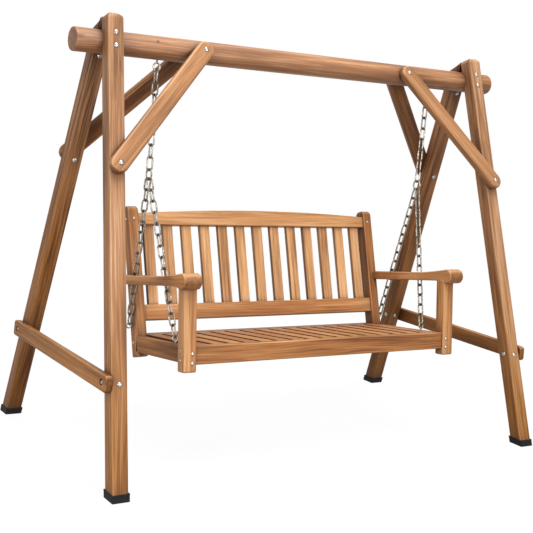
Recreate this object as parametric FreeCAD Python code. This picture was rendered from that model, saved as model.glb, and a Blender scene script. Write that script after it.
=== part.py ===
import FreeCAD, Part
import math
import os

Vec = FreeCAD.Vector
Turn = FreeCAD.Rotation
Place = FreeCAD.Placement

# Swing bench on a timber stand. X runs along the beam, Y to the rear, Z up, in millimetres.
# The origin lies on the floor under the middle of the beam.

# Beam, a round log
beam_height = 1595.0
beam_diameter = 92.0
beam_length = 2095.0
beam_end_round = 5.0

# Legs, two at each end frame, leaning to the beam from front and rear
leg_width = 64.0
leg_depth = 66.0
leg_round = 8.0
beam_overhang = 136.5
frame_splay = 3.3
foot_reach = 544.0
leg_reach_at_beam = 60.0
leg_rise = 110.0
leg_top_roll = 26.0
rear_leg_top_slope = 27.0
wood_seat_clearance = 0.2

# Rubber foot caps
cap_height = 28.0
cap_base = 6.0
cap_wall = 3.0
cap_round = 4.0
cap_clearance = 0.2

# Knee braces between the legs and the beam
brace_width = 72.0
brace_thickness = 36.0
brace_round = 12.0
brace_run = 393.0
brace_leg_height = 1153.0
brace_housing = 5.0

# Side stretchers on the outer faces of the legs
stretcher_level = 395.0
stretcher_height = 64.0
stretcher_thickness = 26.0
stretcher_overhang = 6.0
stretcher_corner = 14.0
stretcher_round = 4.0

# Carriage bolts, screws and nuts
bolt_head_diameter = 20.0
bolt_head_height = 5.0
bolt_diameter = 8.0
bolt_hole_clearance = 0.2
bench_bolt_head_diameter = 15.0
bench_bolt_head_height = 3.6
beam_bolt_spacing = 50.0
beam_bolt_drop = 12.0
beam_bolt_bite = 30.0
rear_bolt_drop = 62.0
brace_bolt_bite = 42.0
rear_brace_bolt_bite = 30.0
short_bolt_length = 25.0
front_bolt_inset = 6.0
nut_width = 13.0
nut_height = 6.5
nut_recess_diameter = 24.0
nut_recess_depth = 8.0

# Chains, rings and screw eyes
eye_x = 692.0
eye_stub = 8.0
eye_radius = 14.0
eye_wire = 7.0
eye_shank_diameter = 8.0
eye_bite = 55.0
ring_height = 1105.0
ring_radius = 22.0
ring_wire = 7.0
link_pitch = 47.0
link_width = 30.0
link_wire = 7.0
link_gap = 0.3
bench_eye_radius = 11.0
bench_eye_wire = 6.0
bench_eye_stub = 5.0
bench_eye_bite = 38.0
front_eye_setback = 150.0
rear_eye_up = 43.0
chain_hole_diameter = 38.0

# Bench as a whole: the seat's front top edge, and how far the bench tips back
seat_front_y = -355.0
seat_front_z = 491.0
bench_tilt = 7.6
back_recline = 10.3

# Bench frame
front_post_x = 650.0
front_post_width = 57.0
front_post_depth = 52.0
front_post_proud = 8.0
front_post_drop = 100.0
post_round = 7.0
rear_post_x = 622.0
rear_post_width = 48.0
rear_post_depth = 60.0
rear_post_setback = 454.0
rear_post_drop = 90.0
rear_post_rise = 545.0
rear_post_roll = 24.0
rail_height = 72.0
front_rail_thickness = 44.0
rear_rail_thickness = 54.0
rear_rail_inset = 8.0
side_rail_thickness = 30.0
side_rail_step = 4.0
rail_round = 4.0

# Arms
arm_height = 228.0
arm_slope = 2.2
arm_width = 76.0
arm_inner_x = 623.0
arm_thickness = 38.0
arm_dip_thickness = 35.0
arm_dip_setback = 250.0
arm_nose_rise = 50.0
arm_lip_drop = 12.0
arm_lip_gap = 0.3
arm_overhang = 40.0
arm_rear_end = 550.0
arm_round = 6.0

# Seat slats on hidden battens
seat_slat_count = 16
seat_slat_gap = 20.0
seat_slat_thickness = 17.0
seat_slat_end_gap = 1.0
seat_slat_side_gap = 18.0
seat_slat_round = 3.0
batten_width = 32.0
batten_height = 20.0
slat_screw_diameter = 4.0
slat_screw_head = 8.0
slat_screw_head_height = 3.0
slat_screw_bite = 12.0

# Back
back_rail_thickness = 44.0
back_low_rail_start = 60.0
back_low_rail_height = 66.0
back_top_rail_start = 465.0
back_top_rail_end_height = 50.0
back_top_rail_crown = 70.0
back_slat_count = 13
back_slat_width = 47.0
back_slat_thickness = 20.0
back_slat_end_gap = 27.0
back_slat_round = 3.0

# Worked out from the sizes above
beam_radius = beam_diameter / 2
far = 2 * beam_length
lean = math.degrees(math.atan2(foot_reach - leg_reach_at_beam, beam_height))
leg_x_at_beam = beam_length / 2 - beam_overhang
brace_beam_x = leg_x_at_beam - brace_run
frame_place = Place(Vec(leg_x_at_beam, 0, beam_height), Turn(Vec(0, 1, 0), -frame_splay))
bench_place = Place(Vec(0, seat_front_y, seat_front_z), Turn(Vec(1, 0, 0), -bench_tilt))
arm_place = Place(Vec(0, 0, arm_height), Turn(Vec(1, 0, 0), -arm_slope))
recline_place = Place(Vec(0, rear_post_setback, 0), Turn(Vec(1, 0, 0), -back_recline))
back_place = bench_place.multiply(recline_place)
rear_post_inner = rear_post_x - rear_post_width / 2
rear_post_outer = rear_post_x + rear_post_width / 2
front_post_inner = front_post_x - front_post_width / 2
side_rail_inner = rear_post_outer - side_rail_thickness
post_rear_s = front_post_depth - front_post_proud
rear_rail_s = rear_post_setback + rear_rail_inset

parts = {}


def placed(shape, place):
    """A copy of a shape, moved from its own frame by a placement."""
    copy = shape.copy()
    copy.Placement = place.multiply(copy.Placement)
    return copy


def mirrored(shape):
    """The same shape on the other side of the bench."""
    return shape.mirror(Vec(0, 0, 0), Vec(1, 0, 0))


def front_to_rear(shape):
    """The same shape on the other side of the beam."""
    return shape.mirror(Vec(0, 0, 0), Vec(0, 1, 0))


def half_space(point, normal):
    """Everything on the side of a plane that its normal points to."""
    half = Part.makeBox(far, far, far, Vec(-far / 2, -far / 2, 0))
    return placed(half, Place(point, Turn(Vec(0, 0, 1), normal)))


def block(low, high):
    """A plain box between two corners."""
    return Part.makeBox(high.x - low.x, high.y - low.y, high.z - low.z, low)


def quarter_arc(start, corner, end):
    """A quarter circle that rounds a square corner between two points."""
    chord = (start + end) * 0.5
    middle = corner + (chord - corner) * (2 - math.sqrt(2))
    return Part.Arc(start, middle, end).toShape()


def rolled_bar(width, depth, low, high, front_roll, rear_roll, edge_round):
    """A bar along Z with its front at Y 0, whose top rolls over to front and rear."""
    front_top = Vec(0, 0, high - front_roll)
    top_front = Vec(0, front_roll, high)
    top_rear = Vec(0, depth - rear_roll, high)
    rear_top = Vec(0, depth, high - rear_roll)
    outline = [
        Part.makeLine(Vec(0, 0, low), front_top),
        quarter_arc(front_top, Vec(0, 0, high), top_front),
        Part.makeLine(top_front, top_rear),
        quarter_arc(top_rear, Vec(0, depth, high), rear_top),
        Part.makeLine(rear_top, Vec(0, depth, low)),
        Part.makeLine(Vec(0, depth, low), Vec(0, 0, low)),
    ]
    bar = Part.Face(Part.Wire(outline)).extrude(Vec(width, 0, 0))
    bar.translate(Vec(-width / 2, 0, 0))
    sides = [edge for edge in bar.Edges if edge.BoundBox.XLength < edge_round]
    return bar.makeFillet(edge_round, sides)


def rod(diameter, start, direction, length):
    """A round rod from a point, along a direction."""
    return Part.makeCylinder(diameter / 2, length, start, direction)


def carriage_bolt(point, outward, shank, diameter, height):
    """A domed bolt whose head sits on a face at a point, with its shank into the wood."""
    radius = diameter / 2
    dome = (radius ** 2 + height ** 2) / (2 * height)
    middle = math.atan2(radius, dome - height) / 2
    shoulder = Vec(dome * math.sin(middle), 0, height - dome + dome * math.cos(middle))
    crown = Part.Arc(Vec(radius, 0, 0), shoulder, Vec(0, 0, height)).toShape()
    axis = Part.makeLine(Vec(0, 0, height), Vec(0, 0, 0))
    base = Part.makeLine(Vec(0, 0, 0), Vec(radius, 0, 0))
    head = Part.Face(Part.Wire([base, crown, axis])).revolve(Vec(0, 0, 0), Vec(0, 0, 1), 360)
    solid = head.fuse(rod(bolt_diameter, Vec(0, 0, 0), Vec(0, 0, -1), shank)).removeSplitter()
    return placed(solid, Place(point, Turn(Vec(0, 0, 1), outward)))


def bolt_hole(point, outward, shank):
    """The hole that a carriage bolt needs."""
    return rod(bolt_diameter + 2 * bolt_hole_clearance, point, outward * -1, shank + bolt_hole_clearance)


def leg_place(side):
    """Where a leg of the right-hand end frame stands: side -1 is the front leg, 1 the rear leg."""
    in_frame = Place(Vec(0, side * leg_reach_at_beam, 0), Turn(Vec(1, 0, 0), side * lean))
    return frame_place.multiply(in_frame)


def leg_drop():
    """How far a leg's bar runs down from the beam, past the floor."""
    return beam_height / math.cos(math.radians(lean)) / math.cos(math.radians(frame_splay)) + leg_depth


def leg_bar(side, grow):
    """A straight sharp-edged bar along a leg, from below the floor to above the beam."""
    half = Vec(leg_width / 2 + grow, leg_depth / 2 + grow, 0)
    bar = block(Vec(-half.x, -half.y, -leg_drop()), Vec(half.x, half.y, leg_rise))
    return placed(bar, leg_place(side))


def beam_level_on_leg(side):
    """How far along a leg its nearest point to the beam axis lies."""
    return leg_place(side).inverse().multVec(frame_place.Base).z


def leg_point(side, face, height):
    """The point at a height on the middle line of a leg's front (-1) or rear (1) face."""
    place = leg_place(side)
    start = place.multVec(Vec(0, face * leg_depth / 2, 0))
    along = place.Rotation.multVec(Vec(0, 0, 1))
    return start + along * ((height - start.z) / along.z)


def rounded_leg(side):
    """A leg with rounded edges and a rolled top, cut level at the foot."""
    rise = leg_rise if side < 0 else leg_rise + leg_depth
    bar = rolled_bar(leg_width, leg_depth, -leg_drop(), rise, leg_top_roll, leg_round, leg_round)
    bar.translate(Vec(0, -leg_depth / 2, 0))
    return placed(bar, leg_place(side)).cut(half_space(Vec(0, 0, cap_base), Vec(0, 0, -1)))


def rear_leg_trim(leg):
    """Cuts the rear leg's top against the back of the front leg and slopes it off."""
    place = leg_place(-1)
    edge = place.multVec(Vec(0, leg_depth / 2, leg_rise - leg_round))
    forward = place.Rotation.multVec(Vec(0, -1, 0))
    slope = math.radians(rear_leg_top_slope)
    upward = Vec(0, math.sin(slope), math.cos(slope))
    return leg.cut(half_space(edge, forward)).cut(half_space(edge, upward))


def foot_cap(side):
    """A rubber cap around the foot of a leg, flat on the floor."""
    sharp = leg_bar(side, cap_wall + cap_clearance)
    long_edges = [edge for edge in sharp.Edges if edge.Length > beam_height]
    shell = sharp.makeFillet(cap_round, long_edges)
    shell = shell.cut(half_space(Vec(0, 0, 0), Vec(0, 0, -1)))
    shell = shell.cut(half_space(Vec(0, 0, cap_height), Vec(0, 0, 1)))
    pocket = leg_bar(side, cap_clearance).cut(half_space(Vec(0, 0, cap_base), Vec(0, 0, -1)))
    return shell.cut(pocket)


def beam_room():
    """The space that the right half of the beam takes, with clearance."""
    diameter = beam_diameter + 2 * wood_seat_clearance
    return rod(diameter, Vec(0, 0, beam_height), Vec(1, 0, 0), beam_length)


def brace_ends():
    """Centres of the right front brace's two round ends, on its back face."""
    low = leg_point(-1, -1, brace_leg_height) + Vec(0, brace_housing, 0)
    high = Vec(brace_beam_x, brace_housing - beam_radius, beam_height)
    return low, high


def brace_normal():
    """The direction in which the right front brace faces."""
    low, high = brace_ends()
    normal = Vec(0, low.z - high.z, high.y - low.y)
    return normal.normalize()


def slot_face(length, width):
    """A flat slot outline with round ends, from the origin along X."""
    half = width / 2
    upper = Part.makeLine(Vec(length, half, 0), Vec(0, half, 0))
    lower = Part.makeLine(Vec(0, -half, 0), Vec(length, -half, 0))
    near = Part.Arc(Vec(0, half, 0), Vec(-half, 0, 0), Vec(0, -half, 0)).toShape()
    far_end = Part.Arc(Vec(length, -half, 0), Vec(length + half, 0, 0), Vec(length, half, 0)).toShape()
    return Part.Face(Part.Wire([upper, near, lower, far_end]))


def front_brace():
    """The right front knee brace, housed against the leg and the beam."""
    low, high = brace_ends()
    normal = brace_normal()
    along = (high - low).normalize()
    board = slot_face((high - low).Length, brace_width).extrude(Vec(0, 0, brace_thickness))
    board = board.makeFillet(brace_round, board.Edges)
    board = placed(board, Place(low, Turn(along, normal.cross(along), normal, "ZXY")))
    return board.cut(leg_bar(-1, 0)).cut(beam_room())


def stretcher_reach():
    """Level of the stretcher in the end frame, and the leg axis there, from the beam's plane."""
    level = (stretcher_level - beam_height) / math.cos(math.radians(frame_splay))
    reach = leg_reach_at_beam - level * math.tan(math.radians(lean))
    return level, reach


def stretcher():
    """The right side stretcher, a board on the outer faces of both legs."""
    level, reach = stretcher_reach()
    end = reach + leg_depth / 2 / math.cos(math.radians(lean)) + stretcher_overhang
    low = Vec(leg_width / 2, -end, level - stretcher_height / 2)
    high = Vec(leg_width / 2 + stretcher_thickness, end, level + stretcher_height / 2)
    board = block(low, high)
    corners = [edge for edge in board.Edges if abs(edge.Length - stretcher_thickness) < stretcher_round]
    board = board.makeFillet(stretcher_corner, corners)
    outer = [edge for edge in board.Edges if edge.BoundBox.XMin > high.x - stretcher_round]
    return placed(board.makeFillet(stretcher_round, outer), frame_place)


def hex_nut(point, outward):
    """A hexagonal nut with its flat face at a point."""
    radius = nut_width / math.sqrt(3)
    angles = [corner * math.pi / 3 for corner in range(7)]
    corners = [Vec(radius * math.cos(angle), radius * math.sin(angle), 0) for angle in angles]
    nut = Part.Face(Part.makePolygon(corners)).extrude(Vec(0, 0, nut_height))
    bore = rod(bolt_diameter + 2 * bolt_hole_clearance, Vec(0, 0, 0), Vec(0, 0, 1), nut_height)
    return placed(nut.cut(bore), Place(point, Turn(Vec(0, 0, 1), outward)))


def screw_eye(centre, ring_axis, radius, wire, shank_direction, shank):
    """A ring of wire with a straight shank that is driven into wood."""
    ring = Part.makeTorus(radius, wire / 2, centre, ring_axis)
    return ring.fuse(rod(eye_shank_diameter, centre + shank_direction * radius, shank_direction, shank))


def chain_link(length):
    """One closed link along Z, its centre line in the XZ plane."""
    bend = (link_width - link_wire) / 2
    straight = length - 2 * bend
    wire = link_wire / 2
    half_ring = Part.makeTorus(bend, wire, Vec(0, 0, 0), Vec(0, 1, 0), -180, 180, 180)
    top = placed(half_ring, Place(Vec(0, 0, straight / 2), Turn(Vec(0, 1, 0), -90)))
    low = placed(half_ring, Place(Vec(0, 0, -straight / 2), Turn(Vec(0, 1, 0), 90)))
    left = rod(link_wire, Vec(-bend, 0, -straight / 2), Vec(0, 0, 1), straight)
    right = rod(link_wire, Vec(bend, 0, -straight / 2), Vec(0, 0, 1), straight)
    return top.fuse([low, left, right])


def hook_point(centre, radius, axis, target):
    """The middle of a ring's wire on the side of the ring that faces a target."""
    towards = target - centre
    in_plane = towards - axis * towards.dot(axis)
    return centre + in_plane.normalize() * radius


def chain_ends(start, start_wire, end, end_wire):
    """Where a chain's outermost bends lie, between the middles of the two wires that it hooks over."""
    along = (end - start).normalize()
    first = start - along * ((start_wire + link_wire) / 2 + link_gap)
    last = end + along * ((end_wire + link_wire) / 2 + link_gap)
    return first, last


def chain(first, last, side):
    """Links in a straight line, each turned a quarter from the one before."""
    along = (last - first).normalize()
    overlap = link_wire + link_gap
    run = (last - first).Length - overlap
    count = 2 * max(1, round(run / link_pitch / 2))
    pitch = run / count
    link = chain_link(pitch + overlap)
    across = (side - along * side.dot(along)).normalize()
    links = []
    for index in range(count):
        centre = first + along * ((pitch + overlap) / 2 + index * pitch)
        width = across if index % 2 == 0 else along.cross(across)
        links.append(placed(link, Place(centre, Turn(width, along.cross(width), along, "ZXY"))))
    return Part.makeCompound(links)


def on_bench(x, along, up):
    """A point of the bench: along the seat from its front edge, and up from the seat plane."""
    return bench_place.multVec(Vec(x, along, up))


def front_post():
    """The right front post, from below the rail to the arm."""
    low = Vec(front_post_inner, -front_post_proud, -front_post_drop)
    high = Vec(front_post_x + front_post_width / 2, post_rear_s, arm_height + front_post_depth)
    post = block(low, high)
    edges = [edge for edge in post.Edges if edge.BoundBox.ZMin < arm_height]
    above_arm = placed(block(Vec(0, -far, 0), Vec(far, far, far)), arm_place)
    return placed(post.makeFillet(post_round, edges).cut(above_arm), bench_place)


def rear_post_room(gap):
    """The space that the right rear post takes, with a gap around it, in the seat's frame."""
    low = Vec(rear_post_inner - gap, -gap, -rear_post_drop)
    high = Vec(rear_post_outer + gap, rear_post_depth + gap, rear_post_rise)
    return placed(block(low, high), recline_place)


def rear_post():
    """The right rear post, reclined, with rounded edges and a rolled top."""
    roll = rear_post_roll
    low = -rear_post_drop
    post = rolled_bar(rear_post_width, rear_post_depth, low, rear_post_rise, roll, roll, post_round)
    post.translate(Vec(rear_post_x, 0, 0))
    return placed(post, back_place)


def front_rail():
    """The rail between the front posts."""
    low = Vec(-front_post_inner, 0, -rail_height)
    rail = block(low, Vec(front_post_inner, front_rail_thickness, 0))
    long_edges = [edge for edge in rail.Edges if edge.Length > front_post_inner]
    front_edges = [edge for edge in long_edges if edge.BoundBox.YMax < rail_round]
    return placed(rail.makeFillet(rail_round, front_edges), bench_place)


def rear_rail():
    """The rail between the rear posts, under the back."""
    low = Vec(-rear_post_inner, rear_rail_s, -rail_height)
    high = Vec(rear_post_inner, rear_rail_s + rear_rail_thickness, 0)
    rail = block(low, high)
    long_edges = [edge for edge in rail.Edges if edge.Length > rear_post_inner]
    rear_edges = [edge for edge in long_edges if edge.BoundBox.YMin > rear_rail_s]
    return placed(rail.makeFillet(rail_round, rear_edges), bench_place)


def side_rail():
    """The right side rail, between the front post and the rear post."""
    low = Vec(side_rail_inner, post_rear_s, -rail_height)
    high = Vec(rear_post_outer, rear_rail_s, -side_rail_step)
    rail = block(low, high)
    return placed(rail.cut(rear_post_room(0)), bench_place)


def arm_profile():
    """The arm's side outline, up from its underside and as deep as its front lip."""
    nose = (arm_nose_rise + arm_lip_drop) / 2
    nose_s = nose - front_post_proud - arm_overhang
    nose_low = Vec(0, nose_s, -arm_lip_drop)
    nose_tip = Vec(0, nose_s - nose, arm_nose_rise - nose)
    nose_top = Vec(0, nose_s, arm_nose_rise)
    dip = Vec(0, arm_dip_setback, arm_dip_thickness)
    rear_low = Vec(0, arm_rear_end, -arm_lip_drop)
    rear_top = Vec(0, arm_rear_end, arm_thickness)
    run = dip.y - nose_top.y
    rise = nose_top.z - dip.z
    radius = (run ** 2 + rise ** 2) / (2 * rise)
    half_turn = math.atan2(run, radius - rise) / 2
    sweep = dip + Vec(0, -radius * math.sin(half_turn), radius * (1 - math.cos(half_turn)))
    outline = [
        Part.makeLine(rear_low, nose_low),
        Part.Arc(nose_low, nose_tip, nose_top).toShape(),
        Part.Arc(nose_top, sweep, dip).toShape(),
        Part.makeLine(dip, rear_top),
        Part.makeLine(rear_top, rear_low),
    ]
    return Part.Face(Part.Wire(outline))


def arm(chain_runs):
    """The right arm, notched around the rear post, with holes for the two chains."""
    board = arm_profile().extrude(Vec(arm_width, 0, 0))
    board.translate(Vec(arm_inner_x, 0, 0))
    board = board.makeFillet(arm_round, board.Edges)
    lip_rear = Vec(0, -front_post_proud - arm_lip_gap, -far)
    board = board.cut(block(lip_rear, Vec(far, far, 0)))
    board = placed(board, arm_place).cut(rear_post_room(0))
    board = placed(board, bench_place)
    for first, last in chain_runs:
        board = board.cut(rod(chain_hole_diameter, first, last - first, (last - first).Length))
    return board


def spread(count, low, high):
    """Evenly spaced values from low to high."""
    return [low + (high - low) * index / (count - 1) for index in range(count)]


def seat_slat_width():
    """The width of a seat slat that fills the seat between the side rails."""
    room = 2 * (side_rail_inner - seat_slat_side_gap) - (seat_slat_count - 1) * seat_slat_gap
    return room / seat_slat_count


def seat_slat_centres():
    """Middle lines of the seat slats."""
    edge = side_rail_inner - seat_slat_side_gap - seat_slat_width() / 2
    return spread(seat_slat_count, -edge, edge)


def batten_starts():
    """Front edges of the front, middle and rear battens."""
    front = front_rail_thickness
    rear = rear_rail_s - batten_width
    return front, (front + rear) / 2, rear


def seat_slat(x):
    """One front-to-back slat of the seat."""
    half = seat_slat_width() / 2
    low = Vec(x - half, front_rail_thickness + seat_slat_end_gap, -seat_slat_thickness)
    high = Vec(x + half, rear_rail_s - seat_slat_end_gap, 0)
    slat = block(low, high)
    long_edges = [edge for edge in slat.Edges if edge.BoundBox.YLength > edge.BoundBox.XLength]
    top_edges = [edge for edge in long_edges if edge.BoundBox.ZMin > -seat_slat_round]
    return slat.makeFillet(seat_slat_round, top_edges)


def batten(start):
    """One batten under the seat slats, between the side rails."""
    low = Vec(-side_rail_inner, start, -seat_slat_thickness - batten_height)
    return block(low, Vec(side_rail_inner, start + batten_width, -seat_slat_thickness))


def slat_screw(x, start, grow):
    """A screw that holds a slat from below, or the hole for it."""
    point = Vec(x, start + batten_width / 2, -seat_slat_thickness - batten_height)
    up = Vec(0, 0, 1)
    shank = rod(slat_screw_diameter + 2 * grow, point, up, batten_height + slat_screw_bite + grow)
    return shank.fuse(rod(slat_screw_head + 2 * grow, point, up, slat_screw_head_height + grow))


def seat_deck():
    """Seat slats, battens and the screws between them."""
    slats = [seat_slat(x) for x in seat_slat_centres()]
    battens = [batten(start) for start in batten_starts()]
    screws = []
    for start in (batten_starts()[0], batten_starts()[2]):
        for index, x in enumerate(seat_slat_centres()):
            screws.append(slat_screw(x, start, 0))
            slats[index] = slats[index].cut(slat_screw(x, start, bolt_hole_clearance))
    for index in (0, 2):
        holes = [slat_screw(x, batten_starts()[index], bolt_hole_clearance) for x in seat_slat_centres()]
        battens[index] = battens[index].cut(holes)
    slat_notches = both_sides([rear_post_room(seat_slat_end_gap)])
    slats = [slat.cut(slat_notches) for slat in slats]
    battens[2] = battens[2].cut(both_sides([rear_post_room(0)]))
    parts["seat_slats"] = placed(Part.makeCompound(slats), bench_place)
    parts["seat_battens"] = placed(Part.makeCompound(battens), bench_place)
    parts["seat_slat_screws"] = placed(Part.makeCompound(screws), bench_place)


def back_layer(thickness):
    """Front and rear of a piece of the back that lies in the middle of the rear posts."""
    return (rear_post_depth - thickness) / 2, (rear_post_depth + thickness) / 2


def back_low_rail():
    """The straight lower rail of the back."""
    front, rear = back_layer(back_rail_thickness)
    low = Vec(-rear_post_inner, front, back_low_rail_start)
    high = Vec(rear_post_inner, rear, back_low_rail_start + back_low_rail_height)
    rail = block(low, high)
    long_edges = [edge for edge in rail.Edges if edge.Length > rear_post_inner]
    return placed(rail.makeFillet(rail_round, long_edges), back_place)


def back_top_rail():
    """The upper rail of the back, arched along its top."""
    front, rear = back_layer(back_rail_thickness)
    base = back_top_rail_start
    end = base + back_top_rail_end_height
    crown = base + back_top_rail_crown
    inner = rear_post_inner
    arch = Part.Arc(Vec(-inner, front, end), Vec(0, front, crown), Vec(inner, front, end)).toShape()
    right = Part.makeLine(Vec(inner, front, end), Vec(inner, front, base))
    under = Part.makeLine(Vec(inner, front, base), Vec(-inner, front, base))
    left = Part.makeLine(Vec(-inner, front, base), Vec(-inner, front, end))
    rail = Part.Face(Part.Wire([arch, right, under, left])).extrude(Vec(0, rear - front, 0))
    long_edges = [edge for edge in rail.Edges if edge.Length > inner]
    return placed(rail.makeFillet(rail_round, long_edges), back_place)


def back_slat(x):
    """One upright slat of the back, between its two rails."""
    front, rear = back_layer(back_slat_thickness)
    low = Vec(x - back_slat_width / 2, front, back_low_rail_start + back_low_rail_height)
    high = Vec(x + back_slat_width / 2, rear, back_top_rail_start)
    slat = block(low, high)
    upright = [edge for edge in slat.Edges if edge.BoundBox.ZLength > back_slat_width]
    return placed(slat.makeFillet(back_slat_round, upright), back_place)


def add_pair(name, shape):
    """Keeps a right-hand piece and its mirror image on the left."""
    parts[name + "_right"] = shape
    parts[name + "_left"] = mirrored(shape)


def both_sides(shapes):
    """Shapes of the right-hand side with their mirror images."""
    return shapes + [mirrored(shape) for shape in shapes]


def bolt_set(places, diameter, height):
    """Bolts with one size of head, and their holes, for a list of points, directions and shank lengths."""
    bolts = [carriage_bolt(*entry, diameter, height) for entry in places]
    holes = [bolt_hole(*entry) for entry in places]
    return bolts, holes


def beam_bolt_places():
    """Bolts that hold the right-hand legs to the beam, and the short one low on the rear leg."""
    places = []
    for side in (-1, 1):
        place = leg_place(side)
        outward = place.Rotation.multVec(Vec(0, side, 0))
        level = beam_level_on_leg(side) - beam_bolt_drop
        for offset in (-beam_bolt_spacing / 2, beam_bolt_spacing / 2):
            point = place.multVec(Vec(0, side * leg_depth / 2, level + offset))
            places.append((point, outward, leg_depth + beam_bolt_bite))
    rear = leg_place(1)
    low = rear.multVec(Vec(0, -leg_depth / 2, beam_level_on_leg(1) - rear_bolt_drop))
    places.append((low, rear.Rotation.multVec(Vec(0, -1, 0)), short_bolt_length))
    return places


def brace_bolt_places():
    """Bolts through the right front brace."""
    normal = brace_normal()
    shank = brace_thickness + brace_bolt_bite
    return [(end + normal * brace_thickness, normal, shank) for end in brace_ends()]


def rear_brace_bolt_place():
    """The bolt from the front of the right rear leg into the rear brace behind it."""
    forward = leg_place(1).Rotation.multVec(Vec(0, -1, 0))
    head = leg_point(1, 1, brace_leg_height) + forward * leg_depth
    return head, forward, leg_depth + rear_brace_bolt_bite


def stretcher_bolt_places():
    """Through bolts of the right stretcher, heads inside, and short ones on the legs' front faces."""
    level, reach = stretcher_reach()
    inward = frame_place.Rotation.multVec(Vec(-1, 0, 0))
    through = []
    short = []
    for side in (-1, 1):
        head = frame_place.multVec(Vec(-leg_width / 2, side * reach, level))
        shank = leg_width + stretcher_thickness - nut_recess_depth + nut_height
        through.append((head, inward, shank))
        front = leg_place(side).Rotation.multVec(Vec(0, -1, 0))
        short.append((leg_point(side, -1, stretcher_level), front, short_bolt_length))
    return through, short


def bench_bolt_places():
    """Bolts at the right-hand joints of the bench frame."""
    outward = Vec(1, 0, 0)
    forward = bench_place.Rotation.multVec(Vec(0, -1, 0))
    back_forward = back_place.Rotation.multVec(Vec(0, -1, 0))
    face = front_post_x + front_post_width / 2
    quarter = rail_height / 4
    places = []
    for up in (-quarter, -3 * quarter):
        place = on_bench(face, front_rail_thickness / 2, up)
        places.append((place, outward, front_post_width + short_bolt_length))
        front_x = rear_post_outer - front_bolt_inset
        place = on_bench(front_x, -front_post_proud, up - quarter / 2 - bolt_diameter / 4)
        places.append((place, forward, front_post_depth + short_bolt_length))
    middle = rear_post_depth / 2
    low_rail = back_low_rail_start + back_low_rail_height / 2
    top_rail = back_top_rail_start + back_top_rail_end_height / 2
    for up in (low_rail, top_rail):
        point = back_place.multVec(Vec(rear_post_outer, middle, up))
        places.append((point, outward, rear_post_width + short_bolt_length))
    seat = on_bench(rear_post_outer, rear_rail_s + rear_rail_thickness / 2, -rail_height / 2)
    places.append((seat, outward, rear_post_width + short_bolt_length))
    pin = back_place.multVec(Vec(rear_post_x, 0, top_rail))
    places.append((pin, back_forward, middle - bolt_diameter))
    return places


def drilled(shape, holes):
    """A shape with the holes that reach it."""
    return shape.cut([hole for hole in holes if hole.BoundBox.intersect(shape.BoundBox)])


def build_stand():
    """Legs, caps, braces, stretchers, beam, screw eyes and their bolts."""
    head = (bolt_head_diameter, bolt_head_height)
    beam_bolts, beam_holes = bolt_set(beam_bolt_places(), *head)
    brace_bolts, brace_holes = bolt_set(brace_bolt_places(), *head)
    through, short = stretcher_bolt_places()
    stretcher_bolts, stretcher_holes = bolt_set(through + short, *head)
    rear_bolts, rear_holes = bolt_set([rear_brace_bolt_place()], *head)
    brace_bolts += [front_to_rear(brace_bolts[1])] + rear_bolts
    brace_holes += [front_to_rear(brace_holes[1])] + rear_holes
    outward = frame_place.Rotation.multVec(Vec(1, 0, 0))
    nuts = []
    recesses = []
    for start, inward, shank in through:
        floor = start - inward * (shank - nut_height)
        nuts.append(hex_nut(floor, outward))
        recesses.append(rod(nut_recess_diameter, floor, outward, nut_recess_depth + stretcher_thickness))
    stand_holes = beam_holes + brace_holes + stretcher_holes

    log = rod(beam_diameter, Vec(-beam_length / 2, 0, beam_height), Vec(1, 0, 0), beam_length)
    rims = [edge for edge in log.Edges if edge.BoundBox.XLength < beam_end_round]
    log = log.makeFillet(beam_end_round, rims)
    eye_low = Vec(eye_x, 0, beam_height - beam_radius - eye_stub - eye_wire / 2 - eye_radius)
    shank = eye_stub + eye_wire / 2 + eye_bite
    eye = screw_eye(eye_low, Vec(0, 1, 0), eye_radius, eye_wire, Vec(0, 0, 1), shank)
    eye_top = eye_low + Vec(0, 0, eye_radius)
    eye_bore = eye_shank_diameter + 2 * bolt_hole_clearance
    eye_hole = rod(eye_bore, eye_top, Vec(0, 0, 1), shank + bolt_hole_clearance)
    parts["beam"] = log.cut(both_sides(beam_holes + brace_holes + [eye_hole]))
    add_pair("beam_eye", eye)

    add_pair("front_leg", drilled(rounded_leg(-1).cut(beam_room()), stand_holes))
    add_pair("rear_leg", drilled(rear_leg_trim(rounded_leg(1)).cut(beam_room()), stand_holes))
    add_pair("front_foot_cap", foot_cap(-1))
    add_pair("rear_foot_cap", foot_cap(1))
    add_pair("front_brace", drilled(front_brace(), brace_holes))
    add_pair("rear_brace", drilled(front_to_rear(front_brace()), brace_holes))
    add_pair("stretcher", stretcher().cut(stretcher_holes + recesses))
    parts["leg_bolts"] = Part.makeCompound(both_sides(beam_bolts))
    parts["brace_bolts"] = Part.makeCompound(both_sides(brace_bolts))
    parts["stretcher_bolts"] = Part.makeCompound(both_sides(stretcher_bolts + nuts))
    return eye_low


def build_hangers(eye_low):
    """The chains from the beam and the rings below them."""
    ring_centre = Vec(eye_x, 0, ring_height)
    top = eye_low - Vec(0, 0, eye_radius)
    low = ring_centre + Vec(0, 0, ring_radius)
    add_pair("upper_chain", chain(*chain_ends(top, eye_wire, low, ring_wire), Vec(0, 1, 0)))
    add_pair("junction_ring", Part.makeTorus(ring_radius, ring_wire / 2, ring_centre, Vec(1, 0, 0)))
    return ring_centre


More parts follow.
